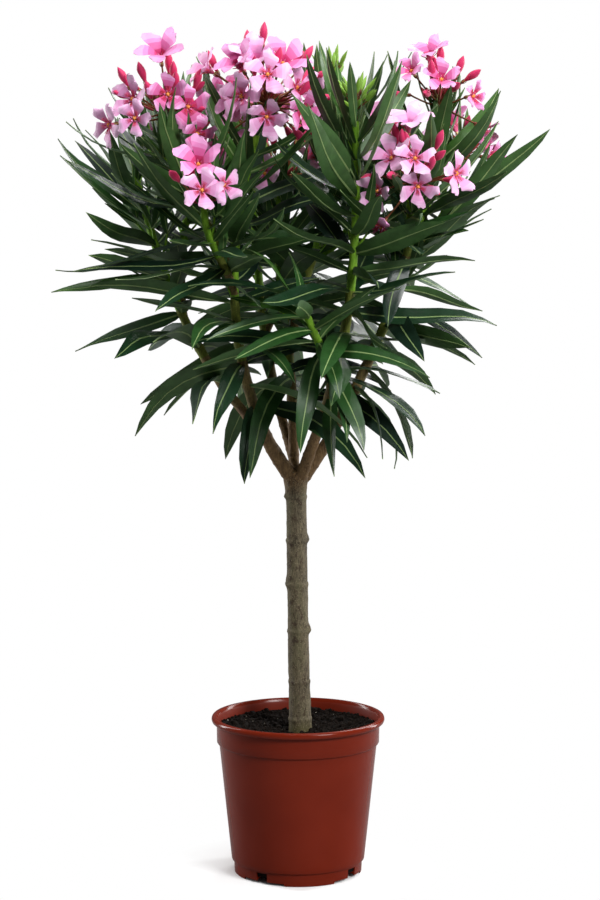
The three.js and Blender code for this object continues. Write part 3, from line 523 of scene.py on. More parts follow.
def bark_finish():
    """Trunk bark: grey-brown with olive and dark blotches, green near the soil and browner at the
    fork, with pale specks and dark pits."""

    def look():
        high = Flow(Flow.node("ShaderNodeSeparateXYZ", Vector=place()).outputs["Z"])
        fibre = noise(1.3, scale=(1, 1, 0.3), detail=5, rough=0.65)
        patch = noise(22, scale=(1, 1, 0.4), detail=4, rough=0.6)
        blotch = noise(6, scale=(1, 1, 0.6), detail=3, shift=(0.3, 0, 0))
        body = blend(srgb(50, 44, 32), srgb(132, 120, 95), (fibre * 0.5 + patch * 0.5).step(0.38, 0.64))
        olive = blend(body, srgb(70, 70, 45), patch.step(0.48, 0.62) * 0.55)
        dark = blend(olive, srgb(54, 38, 28), (1 - blotch.step(0.34, 0.46)) * 0.75)
        green = blend(dark, srgb(70, 66, 30), (1 - high.step(0.176, 0.19)) * 0.75)
        brown = blend(srgb(72, 52, 32), srgb(130, 102, 68), fibre.step(0.4, 0.62))
        fork = blend(green, brown, high.step(0.462, 0.486))
        speck = 1 - cells(2.6, scale=(1, 1, 1.5)).step(0.12, 0.3)
        pit = 1 - cells(4.4, scale=(1, 1, 1.3)).step(0.07, 0.16)
        specked = blend(fork, srgb(164, 150, 122), speck * 0.5)
        return {
            "Base Color": blend(specked, srgb(36, 29, 21), pit * 0.8),
            "Roughness": fibre * 0.2 + 0.68,
            "Normal": bump(fibre * 0.6 + speck * 0.5 + blotch * 0.3, 0.6, 0.7),
        }

    return finish("oleander_bark", look, Specular_IOR_Level=0.3)


def pot_finish():
    """Moulded plastic: red-brown, slightly cloudy, faint upright flow lines and light scuffs, and
    duller inside the collar."""

    def look():
        apart = Flow.node("ShaderNodeSeparateXYZ", Vector=place()).outputs
        x, y, z = (Flow(apart[axis]) for axis in "XYZ")
        inside = (1 - ((x * x + y * y) ** 0.5).step(0.0977, 0.0981)) * z.step(0.160, 0.162)
        cloud = noise(70, detail=2)
        flow = noise(14, scale=(1, 1, 0.06), detail=1)
        scuff = noise(1.4, scale=(1, 1, 0.5), detail=4, rough=0.7).step(0.62, 0.74)
        body = blend(srgb(108, 30, 12), srgb(116, 34, 15), cloud.step(0.3, 0.7))
        return {
            "Base Color": blend(body, srgb(140, 70, 56), scuff * 0.08),
            "Roughness": scuff * 0.06 + flow * 0.04 + inside * 0.35 + 0.16,
            "Normal": bump(flow, 0.12, 0.15),
        }

    return finish("pot_plastic", look, Specular_IOR_Level=0.4, IOR=1.3)


def soil_finish(name, low, high, size):
    """Peat or grit: grains of several sizes from low to high, quite matt."""
    low, high = srgb(*low), srgb(*high)

    def look():
        grain = noise(size, detail=5, rough=0.7)
        return {
            "Base Color": blend(low, high, grain.step(0.4, 0.72)),
            "Roughness": grain * 0.1 + 0.86,
            "Normal": bump(grain, 1.2, 0.8),
        }

    return finish(name, look, Specular_IOR_Level=0.1)


LOOKS = {"bark": bark_finish(), "pot": pot_finish()}
LOOKS.update({name: stem_finish(name, *colours) for name, colours in STEM_COLOURS.items()})
LOOKS.update({name: soil_finish(name, *colours) for name, colours in SOIL_COLOURS.items()})
LOOKS.update({name: leaf_finish(name, *colours) for name, colours in LEAF_COLOURS.items()})
LOOKS.update({name: petal_finish(name, colour) for name, colour in PETAL_COLOURS.items()})


# ---------------------------------------------------------------- meshes
def skins(rings):
    """Closed skins. rings[n, s, k] is point k of ring s of skin n: four-sided faces join each ring to
    the next all the way round, and one face closes each end. Points run anticlockwise round the path.
    With each group of faces go their places along the path and round it."""
    if rings.ndim == 3:
        rings = rings[None]
    n, s, k = rings.shape[:3]
    index = np.arange(n * s * k).reshape(n, s, k)
    low, high = index[:, :-1], index[:, 1:]
    sides = np.stack([low, np.roll(low, -1, 2), np.roll(high, -1, 2), high], -1).reshape(-1, 4)
    ends = np.concatenate([index[:, 0, ::-1], index[:, -1]])
    side_place = np.tile(np.repeat(np.arange(s - 1), k), n), np.tile(np.arange(k), n * (s - 1))
    end_place = np.repeat([0, s - 2], n), np.zeros(2 * n, int)
    return rings.reshape(-1, 3), [(sides, side_place), (ends, end_place)]


def added(name, data):
    """A new object in the scene."""
    made = bpy.data.objects.new(name, data)
    bpy.context.scene.collection.objects.link(made)
    return made


def make(name, parts, looks, nodes, shade=lambda along, round_it: 0 * along, crease=50):
    """One mesh from parts: points in millimetres with their faces. shade gives the number of a face's
    look from its places. Edges sharper than crease degrees stay sharp."""
    points, loops, sizes, kinds, start = [], [], [], [], 0
    for vertices, groups in parts:
        for faces, places in groups:
            loops.append((faces + start).ravel())
            sizes.append(np.full(len(faces), faces.shape[1]))
            kinds.append(shade(*places))
        points.append(vertices)
        start += len(vertices)
    points, loops, sizes, kinds = (np.concatenate(arrays) for arrays in (points, loops, sizes, kinds))
    mesh = bpy.data.meshes.new(name)
    mesh.vertices.add(len(points))
    mesh.vertices.foreach_set("co", (points * MM).astype(np.float32).ravel())
    mesh.loops.add(len(loops))
    mesh.loops.foreach_set("vertex_index", loops.astype(np.int32))
    mesh.polygons.add(len(sizes))
    mesh.polygons.foreach_set("loop_start", (np.cumsum(sizes) - sizes).astype(np.int32))
    mesh.polygons.foreach_set("material_index", kinds.astype(np.int32))
    mesh.update(calc_edges=True)
    mesh.validate()
    mesh.shade_smooth()
    mesh.set_sharp_from_angle(angle=math.radians(crease))
    for look in looks:
        mesh.materials.append(LOOKS[look])
    piece = added(name, mesh)
    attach(piece, "root")
    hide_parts(*nodes)


def round_rings(path, radius, sides, turn=0.0):
    """Rings round a path: path[..., s] + radius (u cos a + v sin a), a from turn once round, with the
    path's own direction from the points before and after. radius may vary by ring and by side."""
    ahead = unit(np.gradient(path, axis=-2))
    a = column(turn) + np.linspace(0, TURN, sides, endpoint=False)
    if np.ndim(radius) < path.ndim:
        radius = column(radius)
    return path[..., None, :] + around(ahead[..., None, :], a) * column(radius)


def corners(node):
    """A CAD node's distinct points in mm, and how many triangles meet in each."""
    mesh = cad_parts[node].data
    co = np.empty(len(mesh.vertices) * 3, np.float32)
    mesh.vertices.foreach_get("co", co)
    faces = np.empty(len(mesh.loops), np.int32)
    mesh.loops.foreach_get("vertex_index", faces)
    co = co.reshape(-1, 3).astype(float) / MM
    _, first, same = np.unique(np.round(co, 2), axis=0, return_index=True, return_inverse=True)
    return co[first], np.bincount(same.ravel()[faces], minlength=len(first))


# ---------------------------------------------------------------- pot and peat
def pot_outline():
    """Radius and height from the axis under the floor out to the foot, up the outside, over the lip,
    down inside and back to the axis, and the places where a drainage window cuts floor and wall."""
    p, wall, foot, band, collar = POT, POT["wall"], POT["foot"], POT["band"], POT["collar"]
    low, high, flare = p["band_top"], p["collar_foot"], p["wall_top"] - p["wall_foot"]
    under = [(0.5, p["floor"]), (30, p["floor"]), (p["window_reach"], p["floor"])]
    under += [(foot - wall - 0.6, p["floor"]), (foot - wall, p["floor"] - 0.6), (foot - wall, 0.5)]
    under += [(foot - wall + 0.4, 0), (foot - 0.5, 0), (foot, 0.5), (foot + 0.25, 5)]
    under += [(band - 0.1, p["window_top"])]
    outside = [(band, low - 1.9), (band + 0.2, low - 1.3)]
    outside += [(p["wall_foot"] - 0.3, low - 0.3), (p["wall_foot"], low + 0.4)]
    outside += [(p["wall_foot"] + s * flare, low + s * (high - low - 0.2)) for s in np.linspace(0.04, 1, 14)]
    outside += [(p["wall_top"] + 0.5, high + 0.2), (collar - 0.5, high + 1), (collar, high + 1.9)]
    outside += [(collar + 0.15, high + 13), (collar + 0.3, p["lip_under"] - 0.6)]
    outside += [(collar + 0.8, p["lip_under"])]
    middle, half = (p["top"] + p["lip_under"]) / 2, (p["top"] - p["lip_under"]) / 2
    a = np.radians(np.linspace(0, 180, 9))
    lip = list(zip(p["rim"] - p["lip_reach"] * (1 - np.sin(a)), middle - half * np.cos(a)))
    inside = [(p["mouth"] + 0.6, p["top"]), (p["mouth"], p["top"] - 0.6), (collar - wall + 0.3, p["top"] - 6)]
    inside += [(collar - wall, high + 15), (collar - wall, high + 1.8), (p["wall_top"] - wall, high - 0.4)]
    for s in (0.66, 0.33, 0):
        inside.append((p["wall_foot"] - wall + s * flare, low + 0.5 + s * (high - low - 0.9)))
    inside += [(band - wall, low - 1.4), (band - wall, p["window_top"])]
    floor = [(band - wall, 9), (band - wall - 1.5, p["floor_top"])]
    floor += [(p["window_reach"], p["floor_top"]), (30, p["floor_top"]), (0.5, p["floor_top"])]
    outline = np.array(under + outside + lip + inside + floor, float)
    return outline, (2, len(under) - 1, len(outline) - len(floor) - 1, len(outline) - 3)


def pot_angles():
    """Where the outline stands round the pot, in degrees: just before and after each end of a foot, at
    both sides of each window, and every 2.5 where none of these is near."""
    pitch, spare = 360 / POT["feet"], 0.9
    sides = [s * POT["foot_arc"] / 2 + e for s in (-1, 1) for e in (-0.25, 0.25)]
    sides += [pitch / 2 + s * POT["window_arc"] / 2 for s in (-1, 1)]
    edges = (POT["foot_turn"] + column(pitch * np.arange(POT["feet"])) + sides).ravel() % 360
    plain = np.arange(0, 360, 2.5)
    apart = np.abs((plain[:, None] - edges + 180) % 360 - 180).min(1)
    return np.sort(np.concatenate([edges, plain[apart > spare]]))


def pot_piece():
    """The pot as its outline turned round the axis: ring point p at angle a is
    (r_p cos a, r_p sin a, z_p). Between two feet the foot's points rise, and where a drainage window
    opens, the wall below it and the floor outside it are left out and the cut faces are closed."""
    outline, (floor_low, wall_low, wall_high, floor_high) = pot_outline()
    angles, pitch, count = pot_angles(), 360 / POT["feet"], len(outline)
    on_foot = np.abs((angles - POT["foot_turn"] + pitch / 2) % pitch - pitch / 2) < POT["foot_arc"] / 2
    r, z = outline.T
    risen = np.maximum(z, np.minimum(POT["foot_height"] + z * 0.2, POT["floor"]))
    z = np.where(on_foot[:, None], z, risen)
    a = np.radians(angles)[:, None]
    points = np.stack([r * np.cos(a), r * np.sin(a), z], -1).reshape(-1, 3)
    here = np.arange(len(points)).reshape(len(angles), count)
    there = np.roll(here, -1, 0)
    quads = np.stack([here[:, :-1], there[:, :-1], there[:, 1:], here[:, 1:]], -1)
    # a column of faces is open where its middle lies in a window
    middles = angles + np.diff(np.append(angles, angles[0] + 360)) / 2
    is_open = np.abs((middles - POT["foot_turn"]) % pitch - pitch / 2) < POT["window_arc"] / 2 - 0.1
    row = np.arange(count - 1)
    is_cut = ((row >= floor_low) & (row < wall_low)) | ((row >= wall_high) & (row < floor_high))
    faces = [quads[~(is_open[:, None] & is_cut)]]
    for low, high in ((wall_low, wall_high), (floor_high, floor_low)):
        faces.append(np.stack([here[:, low], there[:, low], there[:, high], here[:, high]], -1)[is_open])
    faces += [here[:, 0][::-1][None], here[:, -1][None]]
    loop = np.r_[floor_low:wall_low + 1, wall_high:floor_high + 1]
    faces.append(here[is_open & ~np.roll(is_open, 1)][:, loop])
    faces.append(there[is_open & ~np.roll(is_open, -1)][:, loop[::-1]])
    groups = [(f, np.zeros((2, len(f)), int)) for f in faces]
    make("nursery_pot", [(points, groups)], ["pot"], ["pot"], crease=38)


def peat_level(radius, angle):
    """Height of the peat: a dish that rises to the wall, plus lumps of noise of three sizes."""
    x, y = radius * np.cos(angle), radius * np.sin(angle)
    dish = np.interp(radius, [20, 60, 96], [COMPOST["at_trunk"], COMPOST["between"], COMPOST["at_wall"]])
    lumps = sum(high * ripple(x / wide, y / wide, seed) for high, wide, seed in COMPOST["lumps"])
    return dish + lumps * np.clip((96 - radius) / 6, 0.2, 1)


def stones(count, seed, size, spread):
    """Small faceted stones, four rings of five points whose radius is scaled by noise, scattered on
    the peat by the golden turn."""
    i = np.arange(count)
    where = spread * np.sqrt((i + 0.5) / count) * (1 + 0.03 * wobble(i + seed, 1))
    where = np.maximum(where, COMPOST["stones_from"])
    angle = np.radians(GOLDEN_TURN * i + 40 * wobble(i + seed, 2))
    radius = size * (0.55 + 0.75 * chance(i + seed, 3) ** 2)
    high = peat_level(where, angle) + 0.3 * radius
    centre = np.stack([where * np.cos(angle), where * np.sin(angle), high], -1)
    axis = unit(np.stack([wobble(i + seed, 4), wobble(i + seed, 5), 0.6 + 0 * i], -1))
    path = centre[:, None] + axis[:, None] * column([-0.95, -0.45, 0.45, 0.95] * column(radius))
    girth = np.array([0.35, 0.9, 0.85, 0.3]) * column(radius)
    jag = 1 + 0.35 * wobble(i[:, None, None] * 31 + seed + np.arange(4)[:, None] * 7 + np.arange(5), 6)
    return skins(round_rings(path, column(girth) * jag, 5, turn=column(angle)))


def compost_pieces():
    """Peat: its level as a disc of rings, closed down the pot's inside to its floor, with crumbs and
    grit on it."""
    a = np.linspace(0, TURN, 180, endpoint=False)
    r = np.linspace(0.4, 94.6, 64)[::-1]
    side_radius, side_height = np.array(COMPOST["sides"][::-1], float).T
    radius = np.concatenate([side_radius, r])[:, None]
    height = np.concatenate([side_height[:, None] + 0 * a, peat_level(r[:, None], a)])
    rings = np.stack([radius * np.cos(a), radius * np.sin(a), height], -1)
    make("peat", [skins(rings)], ["peat"], ["compost"], crease=80)
    crumbs = [stones(2600, 11000, 1.7, 94), stones(260, 15000, 3.4, 92)]
    make("peat_crumbs", crumbs, ["peat_crumbs"], ["compost"], crease=25)
    make("pale_grit", [stones(90, 19000, 0.9, 93)], ["pale_grit"], ["compost"], crease=25)


# ---------------------------------------------------------------- trunk and boughs
def ridge(off, out, high):
    """A ring that stands out of a stem: out exp(-(off / high)^2), off it by so many mm."""
    return out * np.exp(-(off / high) ** 2)


def flare(along, out, fade):
    """A stem's widening towards its foot: out exp(-along / fade)."""
    return out * np.exp(-np.clip(along, 0, None) / fade)


def bark_relief(angle, along, girth, seed, depth=1.0):
    """Bark in mm: long shallow furrows, finer fibres and scattered corky warts. angle goes once
    round, along and girth are in mm."""
    count = max(6, round(girth / 5))
    relief = 0
    for number, (kind, times) in enumerate((("furrow", 1), ("fibre", 3), ("wart", 2))):
        out, long = BARK[kind]
        height = ripple(angle / TURN * count * times, along / long, seed + number, count * times)
        if kind == "wart":
            height = np.clip(height - BARK["wart_from"], 0, 1)
        relief = relief + out * height
    return depth * relief


def trunk_piece():
    """The stem: radius(z) is an even taper that flares at the soil and swells at the fork, with leaf
    scars as ridges, each with a thin crack above it, and knots as round bumps, plus the bark's relief,
    turned round the stem's bent centre line."""
    foot, fork, mean_radius = TRUNK["foot"], TRUNK["fork"], 12.5
    z = np.concatenate([np.arange(166, 486, 1.4), [487.4, 489.2, 491, 492.8, 494.2, 495.2]])
    centre = bezier(TRUNK["path"], np.clip((z - foot) / (fork - foot), 0, 1))
    radius = np.interp(z, *zip(*TRUNK["radii"])) + flare(z - foot, *TRUNK["flare"])
    for scar in TRUNK["scars"]:
        radius = radius + ridge(z - scar, *TRUNK["ridge"])
    radius = radius * np.interp(z, *TRUNK["swelling"])
    z, a = z[:, None], np.linspace(0, TURN, 96, endpoint=False)
    radius = radius[:, None] + bark_relief(a, z, 78, 5) * np.interp(z, [480, 494], [1, 0.2])
    for height, turn, out, spread in TRUNK["knots"]:
        off = (a - math.radians(turn) + math.pi) % TURN - math.pi
        radius = radius + out * np.exp(-((z - height) / spread) ** 2 - (off * mean_radius / spread) ** 2)
    for scar in TRUNK["scars"]:
        radius = radius - ridge(z - scar - TRUNK["crack_above"] - 0.8 * np.sin(3 * a), *TRUNK["crack"])
    x, y = centre[:, :1] + radius * np.cos(a), centre[:, 1:2] + radius * np.sin(a)
    make("stem_bark", [skins(np.stack([x, y, z + 0 * a], -1))], ["bark"], ["trunk"], crease=75)


def bough_curve(foot, tip, bow):
    """Three control points: foot, the middle moved by twice the bow, tip."""
    middle = (np.array(foot) + np.array(tip)) / 2 + 2 * np.array([*bow, 0])
    return [np.array(foot, float), middle, np.array(tip, float)]


BOUGH_CURVES = {name: bough_curve(foot, tip, bow) for name, (foot, tip, _, bow) in BOUGHS.items()}


def bough_pieces():
    """Each bough: its radius goes evenly from foot to tip, is slimmer where it starts inside its
    bearer, and has leaf scars as ridges at even distances, with the bark's relief on it."""
    a, every = np.linspace(0, TURN, 48, endpoint=False), BOUGH_SCARS["every"]
    for number, (name, (_, _, radii, _)) in enumerate(BOUGHS.items()):
        length = length_of(BOUGH_CURVES[name])
        t = np.linspace(-0.2, 1.0, int(length / 1.1))
        along = t * length
        radius = np.interp(t, [-0.2, -0.05, 0, 1], [0.62 * radii[0], 0.95 * radii[0], *radii])
        radius = radius + ridge((along + 5 * number) % every - every / 2, *BOUGH_SCARS["ridge"])
        relief = bark_relief(a, along[:, None], 45, 30 + number, 0.7)
        rings = round_rings(bezier(BOUGH_CURVES[name], t), radius[:, None] + relief, len(a))
        make(name + "_bark", [skins(rings)], ["bough_bark"], [name], crease=75)


# ---------------------------------------------------------------- shoots
def shoot_curves():
    """Each shoot's four control points: it goes on from a bough's tip, or leaves a shoot's side
    between that shoot's direction and its own tip's, and ends with its lean."""
    made = {}
    for name, (_, bearer, at, tip, lean, _) in SHOOTS.items():
        tip = np.array(tip, float)
        if at is None:
            ahead = heading_of(BOUGH_CURVES[bearer], 1.0)
            foot = BOUGH_CURVES[bearer][-1] + BEYOND_TIP * ahead
        else:
            foot = bezier(made[bearer], at)
            ahead = unit(0.4 * heading_of(made[bearer], at) + 0.6 * unit(tip - foot))
        reach = 0.35 * np.linalg.norm(tip - foot)
        made[name] = [foot, foot + reach * ahead, tip - reach * unit(np.array([*lean, 1.0])), tip]
    return made


CURVES = shoot_curves()
LENGTHS = {name: length_of(curve) for name, curve in CURVES.items()}


def whorl_depths(name):
    """How many mm below its tip each of a shoot's whorls stands."""
    w = np.arange(60)
    below = WHORL["first"] + w * (WHORL["spacing"] + WHORL["growth"] * w)
    return below[below < LENGTHS[name] - WHORL["foot_clear"]]


def shoot_pieces():
    """Shoots as round stems: the radius goes evenly from foot to tip, flares into what bears it and
    has a ridge at each whorl. Each is woody at its foot, then olive, then green."""
    a = np.linspace(0, TURN, 10, endpoint=False)
    for look, (start, end) in STEM_SPANS.items():
        parts = []
        for number, (name, (_, bearer, at, *_)) in enumerate(SHOOTS.items()):
            length, first, foot, widening = LENGTHS[name], start, STEM["side_foot"], STEM["side_flare"]
            if at is None:
                # it goes on from a bough's tip, starts a little inside it and is as wide there
                first, foot = start or STEM["inside"], STEM["foot"]
                widening = BOUGHS[bearer][2][1] - foot, STEM["flare_fade"]
            t = np.linspace(first, end, max(4, int((end - start) * length / 3.2)))
            along = t * length
            radius = foot + (STEM["tip"] - foot) * t
            radius = radius + STEM["bark"] * np.clip(along / STEM["bark_from"], 0, 1)
            radius = radius + flare(along, *widening)
            for depth in whorl_depths(name):
                radius = radius + ridge((1 - t) * length - depth, *STEM["ridge"])
            girth = radius[:, None] + 0.12 * np.cos(3 * a + number)
            parts.append(skins(round_rings(bezier(CURVES[name], t), girth, len(a))))
        make(look, parts, [look], MASSES, crease=75)


# ---------------------------------------------------------------- leaves
def inside_crown(points):
    """Whether points lie in the crown's outline: (x / wide)^2 + (y / deep)^2 < 1 at their height."""
    x, y, z = np.moveaxis(points, -1, 0)
    left, right = np.interp(z, CROWN[:, 0], CROWN[:, 1]), np.interp(z, CROWN[:, 0], CROWN[:, 2])
    wide = np.where(x < 0, left, right)
    deep = np.where(y < 0, CROWN_DEPTH["front"], CROWN_DEPTH["back"]) * (left + right) / 2
    return (x / wide) ** 2 + (y / deep) ** 2 < 1


def blade_path(leaf, steps=BLADE_STEPS):
    """The bent midrib: direction (cos up cos to, cos up sin to, sin up), with up = rise + curl t and
    to = heading + sweep t, summed over even steps of t."""
    t = (np.arange(steps) + 0.5) / steps
    up = column(leaf["rise"]) + column(leaf["curl"]) * t
    to = column(leaf["heading"]) + column(leaf["sweep"]) * t
    way = np.stack([np.cos(up) * np.cos(to), np.cos(up) * np.sin(to), np.sin(up)], -1)
    run = np.cumsum(way, axis=-2) * column(column(leaf["length"])) / steps
    run = np.concatenate([0 * run[..., :1, :], run], axis=-2)
    return leaf["root"][..., None, :] + run


def set_off(root, axis, tilt, turn, key, size, width, curl_more=0.0):
    """A leaf's traits from its root, its stem's direction, its tilt and turn, its key and size."""
    way = tilted(axis, np.radians(tilt), np.radians(turn))
    way[..., 2] -= np.interp(root[..., 2], *zip(*LEAF["sag"]))
    way = unit(way)
    curl = np.interp(root[..., 2], *zip(*LEAF["curl"])) + LEAF["vary"] * wobble(key, 4) + curl_more
    traits = {
        "heading": np.arctan2(way[..., 1], way[..., 0]),
        "rise": np.arcsin(way[..., 2]),
        "curl": np.radians(curl),
        "sweep": np.radians(LEAF["sweep"] * wobble(key, 5)),
        "roll": np.radians(LEAF["roll"] * wobble(key, 6)),
        "length": size * (1 + LEAF["length_spread"] * wobble(key, 3)),
        "width": width * size * (1 + 0.08 * wobble(key, 7)),
    }
    shape = np.broadcast_shapes(way.shape[:-1], np.shape(size))
    root = np.broadcast_to(root, (*shape, 3))
    return {"root": root, **{k: np.broadcast_to(v, shape) for k, v in traits.items()}}


def kept_leaves():
    """The solids' leaves: of each leaf's trials, the first whose tip is a point of its mass where
    three triangles meet. A shortened leaf's tip lies on the line from its root through the full tip,
    and the leaf is shorter by whole steps."""
    kept = []
    points = {mass: corners(mass) for mass in MASSES}
    for index, (name, (mass, *_, phase)) in enumerate(SHOOTS.items()):
        curve, below = CURVES[name], whorl_depths(name)
        w, side, trial = np.meshgrid(np.arange(len(below)), np.arange(3), np.arange(len(COMB)), indexing="ij")
        depth = below[w]
        t = 1 - depth / LENGTHS[name]
        key = index * 100 + w * 3 + side
        turned, lifted, share = np.moveaxis(COMB[trial], -1, 0)
        tilt = LEAF["old_tilt"] - LEAF["young_tilt"] * np.exp(-depth / LEAF["tilt_fade"])
        tilt = tilt + LEAF["tilt_vary"] * wobble(key, 2) - lifted
        turn = phase + 60 * w + 120 * side + WHORL["jitter"] * wobble(key, 1) + turned
        size = share * LEAF["length"] * (1 - LEAF["young"] * np.exp(-depth / LEAF["young_fade"]))
        leaf = set_off(bezier(curve, t), heading_of(curve, t), tilt, turn, key, size, LEAF["width"])
        reach = blade_path(leaf, 12)[..., -1, :] - leaf["root"]
        full = np.linalg.norm(reach, axis=-1, keepdims=True)
        co, meeting = points[mass]
        offset = co[meeting == 3] - leaf["root"][..., None, :]
        along = np.einsum("...ik,...k->...i", offset, reach / full)
        apart = np.sqrt(np.maximum((offset ** 2).sum(-1) - along ** 2, 0))
        share_kept = along / full
        cut = (1 - share_kept) * column(leaf["length"]) / CUT["step"]
        fits = (apart < NEAR["leaf"]) & (share_kept > LEAF["shortest"]) & (share_kept < 1.003)
        fits &= np.abs(cut - np.round(cut)) < CUT["near"]
        found = fits.any(-1)
        for i, j in np.argwhere(found.any(-1)):
            c = found[i, j].argmax()
            row = {k: v[i, j, c] for k, v in leaf.items()}
            row.update(key=key[i, j, 0], depth=below[i], shoot=index, whorl=i)
            row["length"] = row["length"] * share_kept[i, j, c][fits[i, j, c].argmax()]
            kept.append(row)
    return kept


def tip_leaves(index, name):
    """Small upright leaves round a shoot's tip and on the stalk of its flower head."""
    axis, tip, phase = heading_of(CURVES[name], 1.0), CURVES[name][-1], SHOOTS[name][-1]
    heads = [(stalk, flowers) for shoot, stalk, flowers, *_ in HEADS.values() if shoot == name]
    stalk, flowers = heads[0] if heads else (0, 1)
    share = 0.85 if flowers else 0.5
    leaves = []
    for ring, (up, size, tilt) in enumerate(TIP_RINGS):
        if up > stalk - 8:
            continue
        for side in range(3):
            key = 20000 + index * 100 + ring * 10 + side
            turn = phase + 30 + 60 * ring + 120 * side + 20 * wobble(key, 1)
            tilt_here = tilt + 10 * wobble(key, 2)
            leaf = set_off(tip + axis * up, axis, tilt_here, turn, key, size * share, 0.19, curl_more=-14)
            leaves.append({**leaf, "key": key, "depth": 0, "shoot": index, "whorl": -1})
    return leaves


def axil_leaves(index, name):
    """Short side twigs in the axils of a shoot's upper whorls, with two to four small leaves at the
    end of each. Returns leaves and the twigs' rings."""
    length, leaves, twigs = LENGTHS[name], [], []
    for w, depth in enumerate(whorl_depths(name)):
        for side in range(3):
            key = 30000 + index * 500 + w * 10 + side
            if depth < AXIL["from"] or depth > AXIL["to"] * length or chance(key, 1) > AXIL["share"]:
                continue
            t = 1 - (depth - 3) / length
            root, axis = bezier(CURVES[name], t), heading_of(CURVES[name], t)
            turn = SHOOTS[name][-1] + 60 * w + 120 * side + 14 * wobble(key, 2)
            way = tilted(axis, math.radians(AXIL["tilt"] + 8 * wobble(key, 3)), math.radians(turn))
            reach = AXIL["least"] + AXIL["more"] * chance(key, 4)
            s = np.linspace(0, 1, 5)
            path = root + way * reach * column(s) + axis * reach * 0.25 * column(s) ** 2
            twigs.append(round_rings(path, 1.9 - 0.7 * s, 6))
            ahead = unit(way + 0.5 * axis)
            for n in range(2 + int(chance(key, 5) * 2.4)):
                small = key * 7 + n
                at = path[-1] - ahead * (2 + 5 * (n // 3))
                tilt, size = 30 + 12 * wobble(small, 2), 52 + 34 * chance(small, 3)
                leaf = set_off(at, ahead, tilt, 120 * n + 50 * w, small, size, 0.18, curl_more=-8)
                if inside_crown(blade_path(leaf, 12)[-1]):
                    leaves.append({**leaf, "key": small, "depth": 25, "shoot": index, "whorl": w})
    return leaves, twigs


def blade_frame(leaf, at):
    """Points of the midrib at shares of the leaf, with the directions across the blade and out of
    its upper face: side and above, turned by a roll that changes evenly along the leaf. Between its
    root and its tip the midrib also waves: up by a sin(2 pi v) and aside by b sin(pi v)^2."""
    path = blade_path(leaf)[:, np.round(at * BLADE_STEPS).astype(int)]
    h = column(leaf["heading"]) + column(leaf["sweep"]) * at
    r = column(leaf["rise"]) + column(leaf["curl"]) * at
    side = np.stack([-np.sin(h), np.cos(h), 0 * h], -1)
    above = np.stack([-np.cos(h) * np.sin(r), -np.sin(h) * np.sin(r), np.cos(r)], -1)
    twist = column(np.radians(LEAF["twist"] * wobble(leaf["key"], 15))) * (at - 0.25)
    roll = column(column(1.7 * leaf["roll"]) + twist)
    flat = side * np.cos(roll) + above * np.sin(roll)
    face = above * np.cos(roll) - side * np.sin(roll)
    up = column(LEAF["wave"] * wobble(leaf["key"], 16) * leaf["length"]) * np.sin(TURN * at)
    aside = column(LEAF["wave"] * wobble(leaf["key"], 17) * leaf["length"]) * np.sin(math.pi * at) ** 2
    return path + face * column(up) + flat * column(aside), flat, face


def sections(frame_of, u, lift):
    """Rings of points: the midrib, plus u across the blade, plus lift out of its upper face."""
    middle, flat, face = frame_of
    return middle[:, :, None] + flat[:, :, None] * column(u) + face[:, :, None] * column(lift)


def blade_rings(leaf):
    """A leaf's rings: half width = share of the full one, v^0.62 (1 - v)^0.85 scaled to one, across
    a shallow valley whose halves arch and whose margins ripple, over a thin keel."""
    v = STATIONS
    share = (v ** 0.62) * ((1 - v) ** 0.85) / 0.3672
    half = column(np.maximum(column(leaf["width"]) / 2 * share, LEAST_HALF))
    u, is_top = np.array([1, 0.55, 0, -0.55, -1, 0]), np.array([1, 1, 1, 1, 1, 0])
    key, v = column(column(leaf["key"])), column(v)
    fold = 0.14 + 0.1 * wobble(key, 8)
    wave = 0.07 * np.sin(TURN * (1.6 * v + chance(key, 9) + 0.25 * u))
    rise = (fold * np.abs(u) + 0.09 * np.sin(math.pi * np.abs(u)) + wave * u ** 2) * half
    lift = (rise + 0.3) * is_top - (1 - is_top) * (0.35 + 0.9 * (1 - v) ** 2)
    return sections(blade_frame(leaf, STATIONS), u * half, lift)


def rib_rings(leaf):
    """A leaf's midrib: a slim four-sided bar, wider above, that stands out of both faces of the blade
    and thins out to the tip."""
    v = STATIONS
    half = (0.95 * (1 - v) + 0.32) * np.clip(column(leaf["length"]) / 150, 0.5, 1.1)
    half[:, -1] = 0.12
    u, lift = np.array([0.85, 1, -1, -0.85]), np.array([-0.62, 0.72, 0.72, -0.62])
    keel = np.array([-1, 0, 0, -1]) * (0.9 * (1 - column(v)) ** 2)
    return sections(blade_frame(leaf, v), u * column(half), lift + keel)


def tint_of(leaf):
    """A spray's tint: fresh at a shoot's tip, then mid green, and by chance among the older ones."""
    key, depth = leaf["key"], leaf["depth"]
    spray = chance(leaf["shoot"] * 40 + leaf["whorl"], 11)
    mixed = 0.65 * spray + 0.35 * chance(key, 12)
    older = np.select([mixed < share for share in OLD_TINTS.values()], list(OLD_TINTS), "leaf_dark")
    young = np.where(chance(key, 13) < 0.5, "leaf_fresh", "leaf_mid")
    near = np.where(chance(key, 14) < 0.6, "leaf_mid", "leaf_green")
    return np.where(depth < TINT_DEPTHS["young"], young, np.where(depth < TINT_DEPTHS["near"], near, older))


def under_sky(leaves):
    """Whether a leaf ends where the crown is open, seen from the front."""
    tips = blade_path(leaves)[:, -1]
    return np.any([np.hypot(tips[:, 0] - x, tips[:, 2] - z) < reach for x, z, reach in SKY], axis=0)


def underside(along, round_it):
    """The second look for a leaf's lower faces."""
    return (round_it > 3).astype(int)


